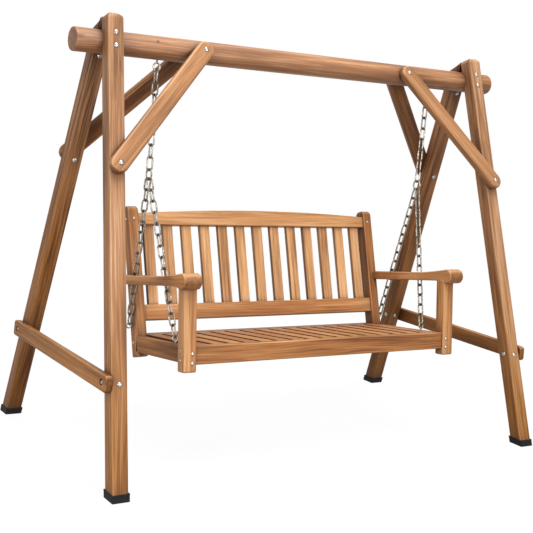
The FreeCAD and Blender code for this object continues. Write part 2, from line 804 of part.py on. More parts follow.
def build_lower_chains(ring_centre):
    """The chains from the rings to the bench, and the screw eyes that hold them."""
    eye_rise = bench_eye_stub + bench_eye_wire / 2 + bench_eye_radius
    shank = bench_eye_stub + bench_eye_wire / 2 + bench_eye_bite
    rail_x = (side_rail_inner + rear_post_outer) / 2
    front = on_bench(rail_x, front_eye_setback, eye_rise - side_rail_step)
    rear = back_place.multVec(Vec(rear_post_outer + eye_rise, rear_post_depth / 2, rear_eye_up))
    down = bench_place.Rotation.multVec(Vec(0, 0, -1))
    runs = []
    holes = []
    for name, centre, direction in (("front", front, down), ("rear", rear, Vec(-1, 0, 0))):
        hook = hook_point(ring_centre, ring_radius, Vec(1, 0, 0), centre)
        along = (centre - hook).normalize()
        across = Vec(1, 0, 0) - along * along.x
        ends = chain_ends(hook, ring_wire, centre - along * bench_eye_radius, bench_eye_wire)
        add_pair(name + "_lower_chain", chain(*ends, Vec(1, 0, 0)))
        eye = screw_eye(centre, along.cross(across), bench_eye_radius, bench_eye_wire, direction, shank)
        parts[name + "_bench_eyes"] = Part.makeCompound(both_sides([eye]))
        start = centre + direction * bench_eye_radius
        diameter = eye_shank_diameter + 2 * bolt_hole_clearance
        holes.append(rod(diameter, start, direction, shank + bolt_hole_clearance))
        runs.append(ends)
    return runs, holes


def build_bench(runs, eye_holes):
    """The bench frame, arms, seat and back."""
    bolts, holes = bolt_set(bench_bolt_places(), bench_bolt_head_diameter, bench_bolt_head_height)
    holes = holes + eye_holes
    add_pair("front_post", drilled(front_post(), holes))
    add_pair("rear_post", drilled(rear_post(), holes))
    add_pair("side_rail", drilled(side_rail(), holes))
    add_pair("arm", arm(runs))
    parts["front_rail"] = front_rail().cut(both_sides(holes + [side_rail()]))
    parts["rear_rail"] = rear_rail().cut(both_sides(holes))
    parts["back_low_rail"] = back_low_rail().cut(both_sides(holes))
    parts["back_top_rail"] = back_top_rail().cut(both_sides(holes))
    parts["bench_bolts"] = Part.makeCompound(both_sides(bolts))
    edge = rear_post_inner - back_slat_end_gap - back_slat_width / 2
    for index, x in enumerate(spread(back_slat_count, -edge, edge), start=1):
        parts[f"back_slat_{index:02d}"] = back_slat(x)
    seat_deck()


def main():
    """Builds every piece and writes one file for each."""
    os.makedirs("parts", exist_ok=True)
    eye_low = build_stand()
    ring_centre = build_hangers(eye_low)
    runs, eye_holes = build_lower_chains(ring_centre)
    build_bench(runs, eye_holes)
    for name, shape in parts.items():
        shape.exportStep(f"parts/{name}.step")
        solids = shape.Solids
        volume = sum(solid.Volume for solid in solids) / 1000
        print(f"{name}: {len(solids)} solids, {volume:.1f} cm3, valid {shape.isValid()}")
    print(f"{len(parts)} pieces, beam eye at {eye_low.z:.1f}")


main()
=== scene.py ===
"""Dresses the swing bench: timber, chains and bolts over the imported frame, and the studio around them."""
import logging
import math
import random
from collections.abc import Callable, Iterable, Sequence
from dataclasses import dataclass, field
from enum import Enum

import bmesh
import bpy
from mathutils import Matrix, Vector


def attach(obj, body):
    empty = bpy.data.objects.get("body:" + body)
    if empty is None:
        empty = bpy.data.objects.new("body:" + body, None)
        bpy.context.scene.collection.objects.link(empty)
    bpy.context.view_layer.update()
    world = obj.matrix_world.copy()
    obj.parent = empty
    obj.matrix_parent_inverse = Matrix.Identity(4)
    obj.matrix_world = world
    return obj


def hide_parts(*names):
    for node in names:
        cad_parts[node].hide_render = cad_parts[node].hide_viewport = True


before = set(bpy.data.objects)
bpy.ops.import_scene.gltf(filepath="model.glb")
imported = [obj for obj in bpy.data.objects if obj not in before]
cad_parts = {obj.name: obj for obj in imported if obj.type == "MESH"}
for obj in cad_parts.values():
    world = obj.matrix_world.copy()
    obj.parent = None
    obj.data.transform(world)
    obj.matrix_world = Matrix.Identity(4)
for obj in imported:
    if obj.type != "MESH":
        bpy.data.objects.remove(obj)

Point = tuple[float, float]
Triple = tuple[float, float, float]
Bolt = tuple[Vector, Vector]
Cut = tuple[Vector, Vector]
Run = tuple[Vector, Vector]
Body = bmesh.types.BMesh
Mesh = bpy.types.Mesh
Thing = bpy.types.Object
Socket = bpy.types.NodeSocket
Feeds = dict[str | int, object]

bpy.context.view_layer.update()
LOG = logging.getLogger("swing_bench")
MM = 0.001
IMAGE_SIZE = 533
BLACK = (0.0, 0.0, 0.0)
WHITE = (255.0, 255.0, 255.0)
RIGHT = Vector((1.0, 0.0, 0.0))
REARWARD = Vector((0.0, 1.0, 0.0))
UP = Vector((0.0, 0.0, 1.0))
UNMOVED = Matrix.Identity(4)
REVERSED = Matrix.Diagonal((1.0, -1.0, 1.0, 1.0))
# Frames for outlines that are drawn from the side and from the front
SIDEWAYS = Matrix(((0, 0, 1, 0), (1, 0, 0, 0), (0, 1, 0, 0), (0, 0, 0, 1)))
FACING = Matrix(((1, 0, 0, 0), (0, 0, -1, 0), (0, 1, 0, 0), (0, 0, 0, 1)))
# Angles in degrees above which edges are softened, or stay crisp when shaded
SOFTENED_ANGLE = 22.0
BOARD_CRISP = 38.0
STEEL_CRISP = 50.0
ROUND_CRISP = 60.0
# How finely edges, corners and turnings are divided
EDGE_STEPS = 5
CORNER_STEPS = 7
ROLL_STEPS = 10
ARC_STEPS = 25
BORE_SIDES = 40
# Cosine above which a wire runs too near its lead direction
ALMOST_ALONG = 0.9
# How strongly large faces hold the shading of their edges
FLAT_FACE_WEIGHT = 90
# A board's distance from the pith and its place along the log, in metres
PITH_REACH = (0.045, 0.11)
LOG_LENGTH = 9.0
# The least and the most that one slat of a row lies away from the first in the log, in metres
LOG_SHIFTS = ((-0.04, -0.04, 0.0), (0.04, 0.04, 7.0))
FIRST_SEED = 200
# How far a face has to turn to count as an end, an edge or a side, and over what it grows to one
END_FACES = (0.6, 0.3)
EDGE_FACES = (0.0, 0.29)
SIDE_FACES = (0.3, 0.5)
# Edges that face up grow paler as wear and painted highlight, edges that face down darker as painted shade
UPPER_EDGE_WEAR_AND_HIGHLIGHT = (0.3, 0.7)
LOWER_EDGE_SHADE = 0.8
# How pale single boards are: 0.5 is the middle of their finish. Partly painted light and shade: the rear legs
# and braces are set darker for their shade, the left front post paler for the light on it
SHADES = {
    "front_leg_left": 0.5, "front_leg_right": 0.8, "rear_leg_left": -0.1, "rear_leg_right": 0.3,
    "rear_brace_left": -0.2, "rear_brace_right": -0.2, "stretcher_left": 0.2, "stretcher_right": 0.2,
    "front_post_left": 1.2, "front_post_right": 0.6, "arm_left": 1.0, "arm_right": 1.0,
    "front_rail": 0.1, "back_low_rail": 0.6, "back_top_rail": 1.5,
}


class Side(Enum):
    """The half of the swing that a piece belongs to."""

    LEFT = -1
    RIGHT = 1

    @property
    def mirror(self) -> Matrix:
        """The matrix that takes right-hand work to this side."""
        return Matrix.Diagonal((self.value, 1.0, 1.0, 1.0))

    @property
    def word(self) -> str:
        """The side's name as node names end in it."""
        return self.name.lower()


class End(Enum):
    """The front or the rear of the swing."""

    FRONT = -1
    REAR = 1

    @property
    def word(self) -> str:
        """The end's name as node names begin with it."""
        return self.name.lower()


class Along(Enum):
    """The axis of a board's own frame that its grain follows."""

    LENGTH = 0
    HEIGHT = 1
    DEPTH = 2


class Kind(Enum):
    """What a value is that geometry carries."""

    NUMBER = "FLOAT"
    VECTOR = "FLOAT_VECTOR"


class Domain(Enum):
    """What each value that geometry carries belongs to."""

    POINT = "POINT"
    FACE = "FACE"
    COPY = "INSTANCE"


class Curve(Enum):
    """How a number goes from one end of its range to the other."""

    STRAIGHT = "LINEAR"
    SOFT = "SMOOTHSTEP"


def linear(colour: Triple) -> tuple[float, float, float, float]:
    """Turns a screen colour into the light values that a shader takes.

    Args:
        colour: Red, green and blue from 0 to 255.

    Returns:
        The linear colour with full opacity.
    """
    parts = [value / 255.0 for value in colour]
    lit = [part / 12.92 if part <= 0.04045 else ((part + 0.055) / 1.055) ** 2.4 for part in parts]
    return lit[0], lit[1], lit[2], 1.0


def fade(limits: Point) -> tuple[tuple[float, Triple], ...]:
    """Stops of a ramp that rises from nothing to all between two limits."""
    return (limits[0], BLACK), (limits[1], WHITE)


def share(value: float, start: float, reach: float) -> float:
    """How far a value has come over a reach from its start, from 0 to 1."""
    return min(1.0, max(0.0, (value - start) / reach))


class NodeSheet:
    """A node tree, with short ways to add nodes and join them."""

    def __init__(self, tree: bpy.types.NodeTree) -> None:
        """Opens a tree."""
        self.tree = tree

    def put(self, socket: Socket, value: object) -> None:
        """Joins an input to a socket, or sets its value.

        Args:
            socket: The input.
            value: The socket that feeds it, or its plain value.
        """
        if isinstance(value, Socket):
            self.tree.links.new(value, socket)
        else:
            socket.default_value = value

    def node(self, kind: str, feeds: Feeds | None = None, **settings: object) -> bpy.types.Node:
        """Adds a node.

        Args:
            kind: The node's type.
            feeds: A socket or a value for each input, by the input's name or number.
            **settings: The node's options.

        Returns:
            The node.
        """
        made = self.tree.nodes.new(kind)
        for option, value in settings.items():
            setattr(made, option, value)
        for key, value in (feeds or {}).items():
            self.put(made.inputs[key], value)
        return made

    def math(self, operation: str, *values: object, clamp: bool = False) -> Socket:
        """Works out one number from others."""
        feeds = dict(enumerate(values))
        return self.node("ShaderNodeMath", feeds, operation=operation, use_clamp=clamp).outputs[0]

    def vector(self, operation: str, *values: object) -> Socket:
        """Works out one vector, or a length, from vectors."""
        made = self.node("ShaderNodeVectorMath", dict(enumerate(values)), operation=operation)
        return made.outputs["Value" if operation == "LENGTH" else "Vector"]


class ShaderSheet(NodeSheet):
    """The node tree of a material or of the world, with the nodes that finishes are made of."""

    def __init__(self, owner: bpy.types.Material | bpy.types.World, shader: str = "Principled BSDF") -> None:
        """Opens the tree at its main shader.

        Args:
            owner: The material or the world.
            shader: The main shader's name.
        """
        owner.use_nodes = True
        super().__init__(owner.node_tree)
        self.owner = owner
        self.shader = self.tree.nodes[shader]

    def shade(self, feeds: Feeds) -> None:
        """Feeds the main shader's inputs by name."""
        for name, value in feeds.items():
            self.put(self.shader.inputs[name], value)

    def place(self) -> Socket:
        """The place on the object."""
        return self.node("ShaderNodeTexCoord").outputs["Object"]

    def attribute(self, name: str, part: str = "Fac") -> Socket:
        """Reads a value that the mesh carries."""
        return self.node("ShaderNodeAttribute", attribute_name=name).outputs[part]

    def seen(self) -> Socket:
        """Tells the rays that show the white background from those that only light.

        Returns:
            1 for rays from the camera, off glossy surfaces and through clear ones, else 0.
        """
        rays = self.node("ShaderNodeLightPath").outputs
        seen = rays["Is Camera Ray"]
        for kind in ("Is Glossy Ray", "Is Transmission Ray"):
            seen = self.math("MAXIMUM", seen, rays[kind])
        return seen

    def noise(self, place: Socket, stretch: Triple, detail: float, part: int = 0) -> Socket:
        """Adds soft noise.

        Args:
            place: Where it is looked up.
            stretch: How often it repeats per metre along each axis.
            detail: How many finer layers it has.
            part: 0 for a number, 1 for a colour.

        Returns:
            The noise.
        """
        where = self.vector("MULTIPLY", place, stretch)
        feeds = {"Vector": where, "Scale": 1.0, "Detail": detail}
        return self.node("ShaderNodeTexNoise", feeds).outputs[part]

    def ramp(self, value: Socket, stops: Sequence[tuple[float, Triple]]) -> Socket:
        """Turns a number into a colour.

        Args:
            value: The number.
            stops: Each stop's place and colour.

        Returns:
            The colour.
        """
        made = self.node("ShaderNodeValToRGB", {0: value})
        points = made.color_ramp.elements
        while len(points) < len(stops):
            points.new(1.0)
        for point, (position, colour) in zip(points, stops):
            point.position = position
            point.color = linear(colour)
        return made.outputs[0]

    def mix(self, factor: object, first: object, second: object) -> Socket:
        """Mixes two colours, through the colour sockets of the node."""
        return self.node("ShaderNodeMix", {0: factor, 6: first, 7: second}, data_type="RGBA").outputs[2]

    def rescaled(self, value: Socket, before: Point, after: Point, curve: Curve = Curve.STRAIGHT) -> Socket:
        """Carries a number from one range over to another, and holds it there.

        Args:
            value: The number.
            before: The range that it comes from.
            after: The range that it goes to.
            curve: How it goes there.

        Returns:
            The new number.
        """
        limits = zip(("From Min", "From Max", "To Min", "To Max"), (*before, *after))
        made = self.node("ShaderNodeMapRange", {"Value": value}, interpolation_type=curve.value)
        for name, limit in limits:
            made.inputs[name].default_value = limit
        return made.outputs[0]

    def bump(self, height: Socket, strength: float, distance: float) -> None:
        """Gives the surface relief."""
        feeds = {"Height": height, "Strength": strength, "Distance": distance}
        self.shade({"Normal": self.node("ShaderNodeBump", feeds).outputs[0]})


@dataclass(frozen=True)
class Figure:
    """How the timber's figure is drawn: how often each layer repeats per metre, and how much it shows."""

    wander: Triple = (6.0, 6.0, 1.3)
    wander_reach: Triple = (0.045, 0.045, 0.0)
    bands: Triple = (18.0, 18.0, 1.6)
    streaks: Triple = (105.0, 105.0, 2.6)
    threads: Triple = (300.0, 300.0, 6.0)
    smears: Triple = (88.0, 88.0, 2.2)
    pores: Triple = (1300.0, 1300.0, 34.0)
    ring_wobble: Triple = (40.0, 40.0, 2.5)
    knots: Triple = (7.0, 7.0, 3.2)
    tone_share: float = 0.22
    band_share: float = 0.8
    streak_share: float = 0.85
    ring_share: float = 0.22
    thread_share: float = 0.35
    smear_share: float = 0.42
    pore_share: float = 0.16
    wear_share: float = 0.8
    end_share: float = 0.5
    colour_stops: Triple = (0.16, 0.5, 0.84)
    smear_limits: Point = (0.58, 0.72)
    pore_limits: Point = (0.60, 0.72)
    knot_limits: Point = (0.05, 0.11)
    placed_knot_limits: Point = (0.4, 0.8)
    placed_knot_size: float = 0.01
    ring_greys: tuple[Point, ...] = ((0.0, 196.0), (0.55, 176.0), (0.86, 66.0), (1.0, 190.0))
    roughness: float = 0.4
    roughness_spread: float = 0.2
    ring_relief: float = 0.4
    pore_relief: float = 0.5
    relief_strength: float = 0.22
    relief_height: float = 0.0005


@dataclass(frozen=True)
class TimberFinish:
    """Stained, satin-varnished softwood whose grain runs along each piece."""

    name: str
    dark: Triple
    middle: Triple
    light: Triple
    ring_spacing: float
    streaks: float
    knots: float = 0.0
    gloss: float = 0.25
    weathered: bool = False
    knot_at: Triple | None = None
    figure: Figure = Figure()
    # Colour of dark end grain and of the placed knot, and of the painted shade on lower edges, hidden sides
    # and nooks
    deep: Triple = (72, 40, 20)
    # The pale colour of edges: wear, and a painted highlight on the upper ones
    worn: Triple = (226, 182, 138)
    # Painted shade in nooks: how far the occlusion looks, how strongly it darkens, and how many samples it
    # takes
    nook_reach: float = 0.1
    nook_stain: float = 1.5
    nook_samples: int = 8
    # Painted light and shade by height and depth: paler high up, darker near the floor, richer at the rear
    weather_heights: Point = (0.15, 0.9)
    weather_strengths: Point = (1.16, 0.96)
    weather_levels: Point = (0.78, 1.02)
    weather_depths: Point = (0.0, 0.3)
    weather_kept: Point = (0.9, 1.11)

    def material(self) -> bpy.types.Material:
        """Builds the finish from the grain frame that each mesh carries.

        Returns:
            The finish's material.
        """
        sheet = ShaderSheet(bpy.data.materials.new(self.name))
        draw = self.figure
        grain = sheet.attribute("grain", "Vector")
        slow = sheet.vector("SUBTRACT", sheet.noise(grain, draw.wander, detail=2.0, part=1), (0.5, 0.5, 0.5))
        fibre = sheet.vector("ADD", grain, sheet.vector("MULTIPLY", slow, draw.wander_reach))
        rings = self.rings(sheet, fibre)
        streaks = sheet.noise(fibre, draw.streaks, detail=4.0)
        threads = sheet.noise(fibre, draw.threads, detail=3.0)
        pores = sheet.ramp(sheet.noise(fibre, draw.pores, detail=1.0), fade(draw.pore_limits))
        layers = ((sheet.attribute("tone"), draw.tone_share),
                  (sheet.noise(fibre, draw.bands, detail=2.0), draw.band_share),
                  (streaks, draw.streak_share * self.streaks),
                  (rings, draw.ring_share),
                  (threads, draw.thread_share))
        value: Socket | float = 0.5
        for layer, weight in layers:
            value = sheet.math("MULTIPLY_ADD", sheet.math("SUBTRACT", layer, 0.5), weight, value)
        colour = sheet.ramp(value, list(zip(draw.colour_stops, (self.dark, self.middle, self.light))))
        smears = sheet.ramp(sheet.noise(fibre, draw.smears, detail=3.0), fade(draw.smear_limits))
        for stain, weight in ((smears, draw.smear_share * self.streaks), (pores, draw.pore_share)):
            colour = sheet.mix(sheet.math("MULTIPLY", stain, weight), colour, linear(self.dark))
        if self.knots > 0.0:
            colour = self.with_knots(sheet, fibre, colour)
        # Edges grow paler where worn, most on upper edges, as wear and painted highlight
        wear_and_highlight = sheet.math("MULTIPLY", streaks, draw.wear_share)
        colour = sheet.mix(sheet.math("MULTIPLY", sheet.attribute("edge"), wear_and_highlight), colour, linear(self.worn))
        # Paints light and shade by height and depth
        if self.weathered:
            colour = self.with_weather(sheet, colour)
        # Darkens end grain as stain, and paints shade on lower edges, hidden sides and in nooks
        colour = sheet.mix(self.stain(sheet), colour, linear(self.deep))
        rough = sheet.math("MULTIPLY_ADD", threads, draw.roughness_spread, draw.roughness)
        sheet.shade({"Base Color": colour, "Roughness": rough, "Specular IOR Level": self.gloss})
        relief = sheet.math("MULTIPLY_ADD", rings, draw.ring_relief, threads)
        relief = sheet.math("SUBTRACT", relief, sheet.math("MULTIPLY", pores, draw.pore_relief))
        sheet.bump(relief, draw.relief_strength, draw.relief_height)
        return sheet.owner

    def stain(self, sheet: ShaderSheet) -> Socket:
        """Finds where the wood is darkened: stain on end grain, and painted shade on lower edges, hidden
        sides and in nooks.

        Args:
            sheet: The material being made.

        Returns:
            How strongly it darkens, from 0 to 1.
        """
        ends = sheet.math("MULTIPLY", sheet.attribute("end_face"), self.figure.end_share)
        shaded = sheet.math("MAXIMUM", ends, sheet.attribute("recess"))
        # Ambient occlusion paints shade into nooks and crevices where parts meet
        feeds = {"Distance": self.nook_reach}
        nook = sheet.node("ShaderNodeAmbientOcclusion", feeds, samples=self.nook_samples)
        hollow = sheet.math("SUBTRACT", 1.0, nook.outputs["AO"], clamp=True)
        return sheet.math("MAXIMUM", shaded, sheet.math("MULTIPLY", hollow, self.nook_stain, clamp=True))

    def with_weather(self, sheet: ShaderSheet, colour: Socket) -> Socket:
        """Paints light and shade by place: darker and richer near the floor and richer towards the rear,
        paler and greyer higher up in front.

        Args:
            sheet: The material being made.
            colour: The wood's colour so far.

        Returns:
            The colour with the painted light and shade.
        """
        place = sheet.node("ShaderNodeSeparateXYZ", {0: sheet.place()}).outputs
        strength = sheet.rescaled(place["Z"], self.weather_heights, self.weather_strengths)
        kept = sheet.rescaled(place["Y"], self.weather_depths, self.weather_kept)
        level = sheet.rescaled(place["Z"], self.weather_heights, self.weather_levels)
        feeds = {"Color": colour, "Saturation": sheet.math("MAXIMUM", strength, kept), "Value": level}
        return sheet.node("ShaderNodeHueSaturation", feeds).outputs[0]

    def rings(self, sheet: ShaderSheet, fibre: Socket) -> Socket:
        """Draws growth rings: pale early wood that darkens, then starts again.

        Args:
            sheet: The material being made.
            fibre: Place across and along the grain, measured from the pith.

        Returns:
            A value from dark late wood to pale early wood.
        """
        radius = sheet.vector("LENGTH", sheet.vector("MULTIPLY", fibre, (1.0, 1.0, 0.0)))
        wobble = sheet.noise(fibre, self.figure.ring_wobble, detail=2.0)
        turns = sheet.math("ADD", sheet.math("DIVIDE", radius, self.ring_spacing), wobble)
        stops = [(position, (grey, grey, grey)) for position, grey in self.figure.ring_greys]
        return sheet.ramp(sheet.math("FRACT", turns), stops)

    def with_knots(self, sheet: ShaderSheet, fibre: Socket, colour: Socket) -> Socket:
        """Adds a few small dark knots, and one at a given place.

        Args:
            sheet: The material being made.
            fibre: Place across and along the grain.
            colour: The wood's colour so far.

        Returns:
            The colour with knots in it.
        """
        draw = self.figure
        cells = sheet.node("ShaderNodeTexVoronoi", voronoi_dimensions="3D", feature="F1")
        sheet.put(cells.inputs["Vector"], sheet.vector("MULTIPLY", fibre, draw.knots))
        cells.inputs["Scale"].default_value = 1.0
        near, far = draw.knot_limits
        knot = sheet.ramp(cells.outputs["Distance"], ((near, WHITE), (far, BLACK)))
        colour = sheet.mix(sheet.math("MULTIPLY", knot, self.knots), colour, linear(self.dark))
        if self.knot_at is None:
            return colour
        away = sheet.vector("LENGTH", sheet.vector("SUBTRACT", sheet.place(), self.knot_at))
        near, far = draw.placed_knot_limits
        away = sheet.math("MULTIPLY", away, 1.0 / draw.placed_knot_size)
        return sheet.mix(sheet.ramp(away, ((near, WHITE), (far, BLACK))), colour, linear(self.deep))


@dataclass(frozen=True)
class SteelFinish:
    """Bright zinc plate with a little dulling and fine scuffs."""

    name: str
    bright: Triple = (186, 179, 168)
    dull: Triple = (112, 103, 91)
    # Colour of grime, and of the painted shade at bolt rims and where links meet
    grimy: Triple = (66, 54, 42)
    roughness: float = 0.2
    roughness_spread: float = 0.24
    clouds: Triple = (140.0, 140.0, 140.0)
    scuffs: Triple = (900.0, 900.0, 260.0)
    scuff_share: float = 0.6
    dull_limits: Point = (0.36, 0.62)
    least_grime: float = 0.1
    scuff_strength: float = 0.12
    scuff_height: float = 0.0003

    def material(self) -> bpy.types.Material:
        """Builds the plating.

        Returns:
            The finish's material.
        """
        sheet = ShaderSheet(bpy.data.materials.new(self.name))
        place = sheet.place()
        clouds = sheet.noise(place, self.clouds, detail=4.0)
        scuffs = sheet.noise(place, self.scuffs, detail=3.0)
        worn = sheet.math("MULTIPLY_ADD", sheet.math("SUBTRACT", scuffs, 0.5), self.scuff_share, clouds)
        colour = sheet.ramp(worn, list(zip(self.dull_limits, (self.dull, self.bright))))
        # Darkens the plating where marked: grime, and painted shade at bolt rims and where links meet
        cloudy = sheet.math("ADD", clouds, self.least_grime)
        grime = sheet.math("MULTIPLY", sheet.attribute("grime"), cloudy, clamp=True)
        sheet.shade({"Base Color": sheet.mix(grime, colour, linear(self.grimy)), "Metallic": 1.0,
                     "Roughness": sheet.math("MULTIPLY_ADD", scuffs, self.roughness_spread, self.roughness)})
        sheet.bump(scuffs, self.scuff_strength, self.scuff_height)
        return sheet.owner


@dataclass(frozen=True)
class RubberFinish:
    """Black moulded rubber, dusty and faintly pitted."""

    name: str
    black: Triple = (13, 13, 13)
    dusty: Triple = (30, 29, 28)
    dust: Triple = (60.0, 60.0, 90.0)
    pits: Triple = (1400.0, 1400.0, 1400.0)
    dust_limits: Point = (0.4, 0.72)
    gloss: float = 0.15
    roughness: float = 0.5
    roughness_spread: float = 0.3
    pit_strength: float = 0.25
    pit_depth: float = 0.0004

    def material(self) -> bpy.types.Material:
        """Builds the moulded surface.

        Returns:
            The finish's material.
        """
        sheet = ShaderSheet(bpy.data.materials.new(self.name))
        place = sheet.place()
        dust = sheet.noise(place, self.dust, detail=5.0)
        colour = sheet.ramp(dust, list(zip(self.dust_limits, (self.black, self.dusty))))
        rough = sheet.math("MULTIPLY_ADD", dust, self.roughness_spread, self.roughness)
        sheet.shade({"Base Color": colour, "Roughness": rough, "Specular IOR Level": self.gloss})
        sheet.bump(sheet.noise(place, self.pits, detail=2.0), self.pit_strength, self.pit_depth)
        return sheet.owner


FINISHES = (
    TimberFinish("beam_log", (76, 42, 19), (142, 94, 55), (200, 156, 117), 0.0075, 0.65, 0.6, 0.6,
                 knot_at=(-0.7135, -0.0391, 1.6182)),
    TimberFinish("leg_timber", (74, 42, 21), (148, 104, 67), (190, 148, 112), 0.0066, 1.0, 0.4,
                 weathered=True),
    TimberFinish("brace_timber", (92, 55, 28), (159, 111, 69), (197, 153, 112), 0.0070, 0.7,
                 weathered=True),
    TimberFinish("bench_timber", (94, 52, 24), (160, 107, 61), (200, 152, 106), 0.0068, 0.85),
    TimberFinish("back_slat_timber", (120, 77, 44), (202, 154, 107), (232, 196, 156), 0.0064, 0.7),
    TimberFinish("seat_timber", (82, 45, 21), (158, 105, 59), (192, 144, 98), 0.0064, 0.9),
    SteelFinish("chain_steel"),
    SteelFinish("bolt_steel", (182, 180, 176), (128, 124, 118), (62, 50, 40), 0.22),
    RubberFinish("foot_rubber"),
)


def frame_matrix(origin: Vector, first: Vector, second: Vector, third: Vector) -> Matrix:
    """Makes a placement from an origin and three axes.

    Args:
        origin: Where the frame's zero lies.
        first: Direction of its first axis.
        second: Direction of its second axis.
        third: Direction of its third axis.

    Returns:
        The matrix that takes the frame's own coordinates to the object's.
    """
    made = Matrix((first, second, third)).transposed().to_4x4()
    made.translation = origin
    return made


def spin(degrees: float, axis: str) -> Matrix:
    """A turn about a main axis."""
    return Matrix.Rotation(math.radians(degrees), 4, axis)


def spread(count: int, low: float, high: float) -> list[float]:
    """Evenly spaced values from low to high."""
    return [low + (high - low) * index / (count - 1) for index in range(count)]


def round_angles(sides: int) -> list[float]:
    """The angles of a full turn's sides."""
    return [2.0 * math.pi * step / sides for step in range(sides)]


def rounded(corners: Sequence[Triple], steps: int = CORNER_STEPS) -> list[Point]:
    """Rounds the corners of a flat outline.

    Args:
        corners: Each corner's two coordinates and its radius.
        steps: How many steps each rounded corner has.

    Returns:
        The outline's points in order.
    """
    points: list[Point] = []
    for index, (u, v, radius) in enumerate(corners):
        corner = Vector((u, v))
        if radius <= 0.0:
            points.append((u, v))
            continue
        before = (Vector(corners[index - 1][:2]) - corner).normalized()
        after = (Vector(corners[(index + 1) % len(corners)][:2]) - corner).normalized()
        half = before.angle(after) / 2
        centre = corner + (before + after).normalized() * (radius / math.sin(half))
        start = corner + before * (radius / math.tan(half)) - centre
        turn = math.pi - 2 * half
        sign = 1.0 if before.x * after.y - before.y * after.x < 0 else -1.0
        for step in range(steps + 1):
            moved = Matrix.Rotation(sign * turn * step / steps, 2) @ start + centre
            points.append((moved.x, moved.y))
    return points


def rectangle(low: Point, high: Point, radius: float = 0.0) -> list[Point]:
    """A rectangle's outline, with its corners rounded if a radius is given."""
    corners = [(low[0], low[1]), (high[0], low[1]), (high[0], high[1]), (low[0], high[1])]
    return rounded([(u, v, radius) for u, v in corners])


def discard(thing: Thing) -> None:
    """Removes a helper object from the scene."""
    bpy.data.objects.remove(thing, do_unlink=True)


def new_object(name: str, data: bpy.types.ID) -> Thing:
    """Puts a mesh, a light or a camera into the scene.

    Args:
        name: The object's name.
        data: What the object shows.

    Returns:
        The object.
    """
    made = bpy.data.objects.new(name, data)
    bpy.context.scene.collection.objects.link(made)
    return made


def baked(thing: Thing) -> Mesh:
    """Takes the plain mesh that an object's modifiers give, and removes the object.

    Args:
        thing: The object, which is used up.

    Returns:
        The mesh.
    """
    graph = bpy.context.evaluated_depsgraph_get()
    shown = thing.evaluated_get(graph)
    made = bpy.data.meshes.new_from_object(shown, preserve_all_data_layers=True, depsgraph=graph)
    discard(thing)
    return made


def to_mesh(body: Body, name: str) -> Mesh:
    """Turns work into a mesh.

    Args:
        body: The work, which is used up.
        name: The mesh's name.

    Returns:
        The mesh.
    """
    mesh = bpy.data.meshes.new(name)
    body.to_mesh(mesh)
    body.free()
    return mesh


def smooth(mesh: Mesh, crisp: float) -> None:
    """Shades a mesh smooth, with the edges above an angle left crisp."""
    mesh.polygons.foreach_set("use_smooth", [True] * len(mesh.polygons))
    mesh.set_sharp_from_angle(angle=math.radians(crisp))


def softly_shaded(mesh: Mesh, crisp: float) -> Mesh:
    """Shades a mesh smooth but keeps its flat faces flat.

    Args:
        mesh: The mesh to shade.
        crisp: Angle in degrees above which an edge stays crisp.

    Returns:
        The shaded mesh.
    """
    smooth(mesh, crisp)
    holder = new_object("shading_helper", mesh)
    weighted = holder.modifiers.new("even_faces", "WEIGHTED_NORMAL")
    weighted.keep_sharp = True
    weighted.weight = FLAT_FACE_WEIGHT
    return baked(holder)


def face_outwards(body: Body) -> None:
    """Turns the faces of a closed body outwards, also where slim bevel faces mislead the first try.

    Args:
        body: The closed body.
    """
    bmesh.ops.recalc_face_normals(body, faces=body.faces[:])
    if body.calc_volume(signed=True) < 0.0:
        bmesh.ops.reverse_faces(body, faces=body.faces[:])


def finished(body: Body, name: str, place: Matrix = UNMOVED) -> Mesh:
    """Turns work in millimetres into a mesh in metres at its place.

    Args:
        body: The work, in its own frame.
        name: The mesh's name.
        place: Where its frame lies.

    Returns:
        The smoothly shaded mesh.
    """
    body.transform(Matrix.Scale(MM, 4) @ place)
    face_outwards(body)
    mesh = to_mesh(body, name)
    smooth(mesh, STEEL_CRISP)
    return mesh


def draw_out(body: Body, ring: Sequence[bmesh.types.BMVert], depth: float) -> None:
    """Draws a flat ring of points out along Z into a closed body.

    Args:
        body: The work that the points belong to.
        ring: The points in order.
        depth: How far they are drawn out.
    """
    drawn = bmesh.ops.extrude_face_region(body, geom=[body.faces.new(ring)])
    raised = [part for part in drawn["geom"] if isinstance(part, bmesh.types.BMVert)]
    bmesh.ops.translate(body, vec=(0.0, 0.0, depth), verts=raised)


def bridge(body: Body, rings: Sequence[Sequence[bmesh.types.BMVert]], closed: bool = False) -> None:
    """Joins each ring of points to the next with faces.

    Args:
        body: The work that the points belong to.
        rings: The rings in order, with equal counts of points.
        closed: Whether the last ring joins the first.
    """
    following = [*rings[1:], rings[0]] if closed else rings[1:]
    for near, far in zip(rings, following):
        for step in range(len(near)):
            after = (step + 1) % len(near)
            body.faces.new((near[step], near[after], far[after], far[step]))


def capped(body: Body, rings: Sequence[Sequence[bmesh.types.BMVert]]) -> None:
    """Joins rings of points and closes both ends.

    Args:
        body: The work that the points belong to.
        rings: The rings in order.
    """
    bridge(body, rings)
    for ring in (rings[0], rings[-1]):
        body.faces.new(ring)


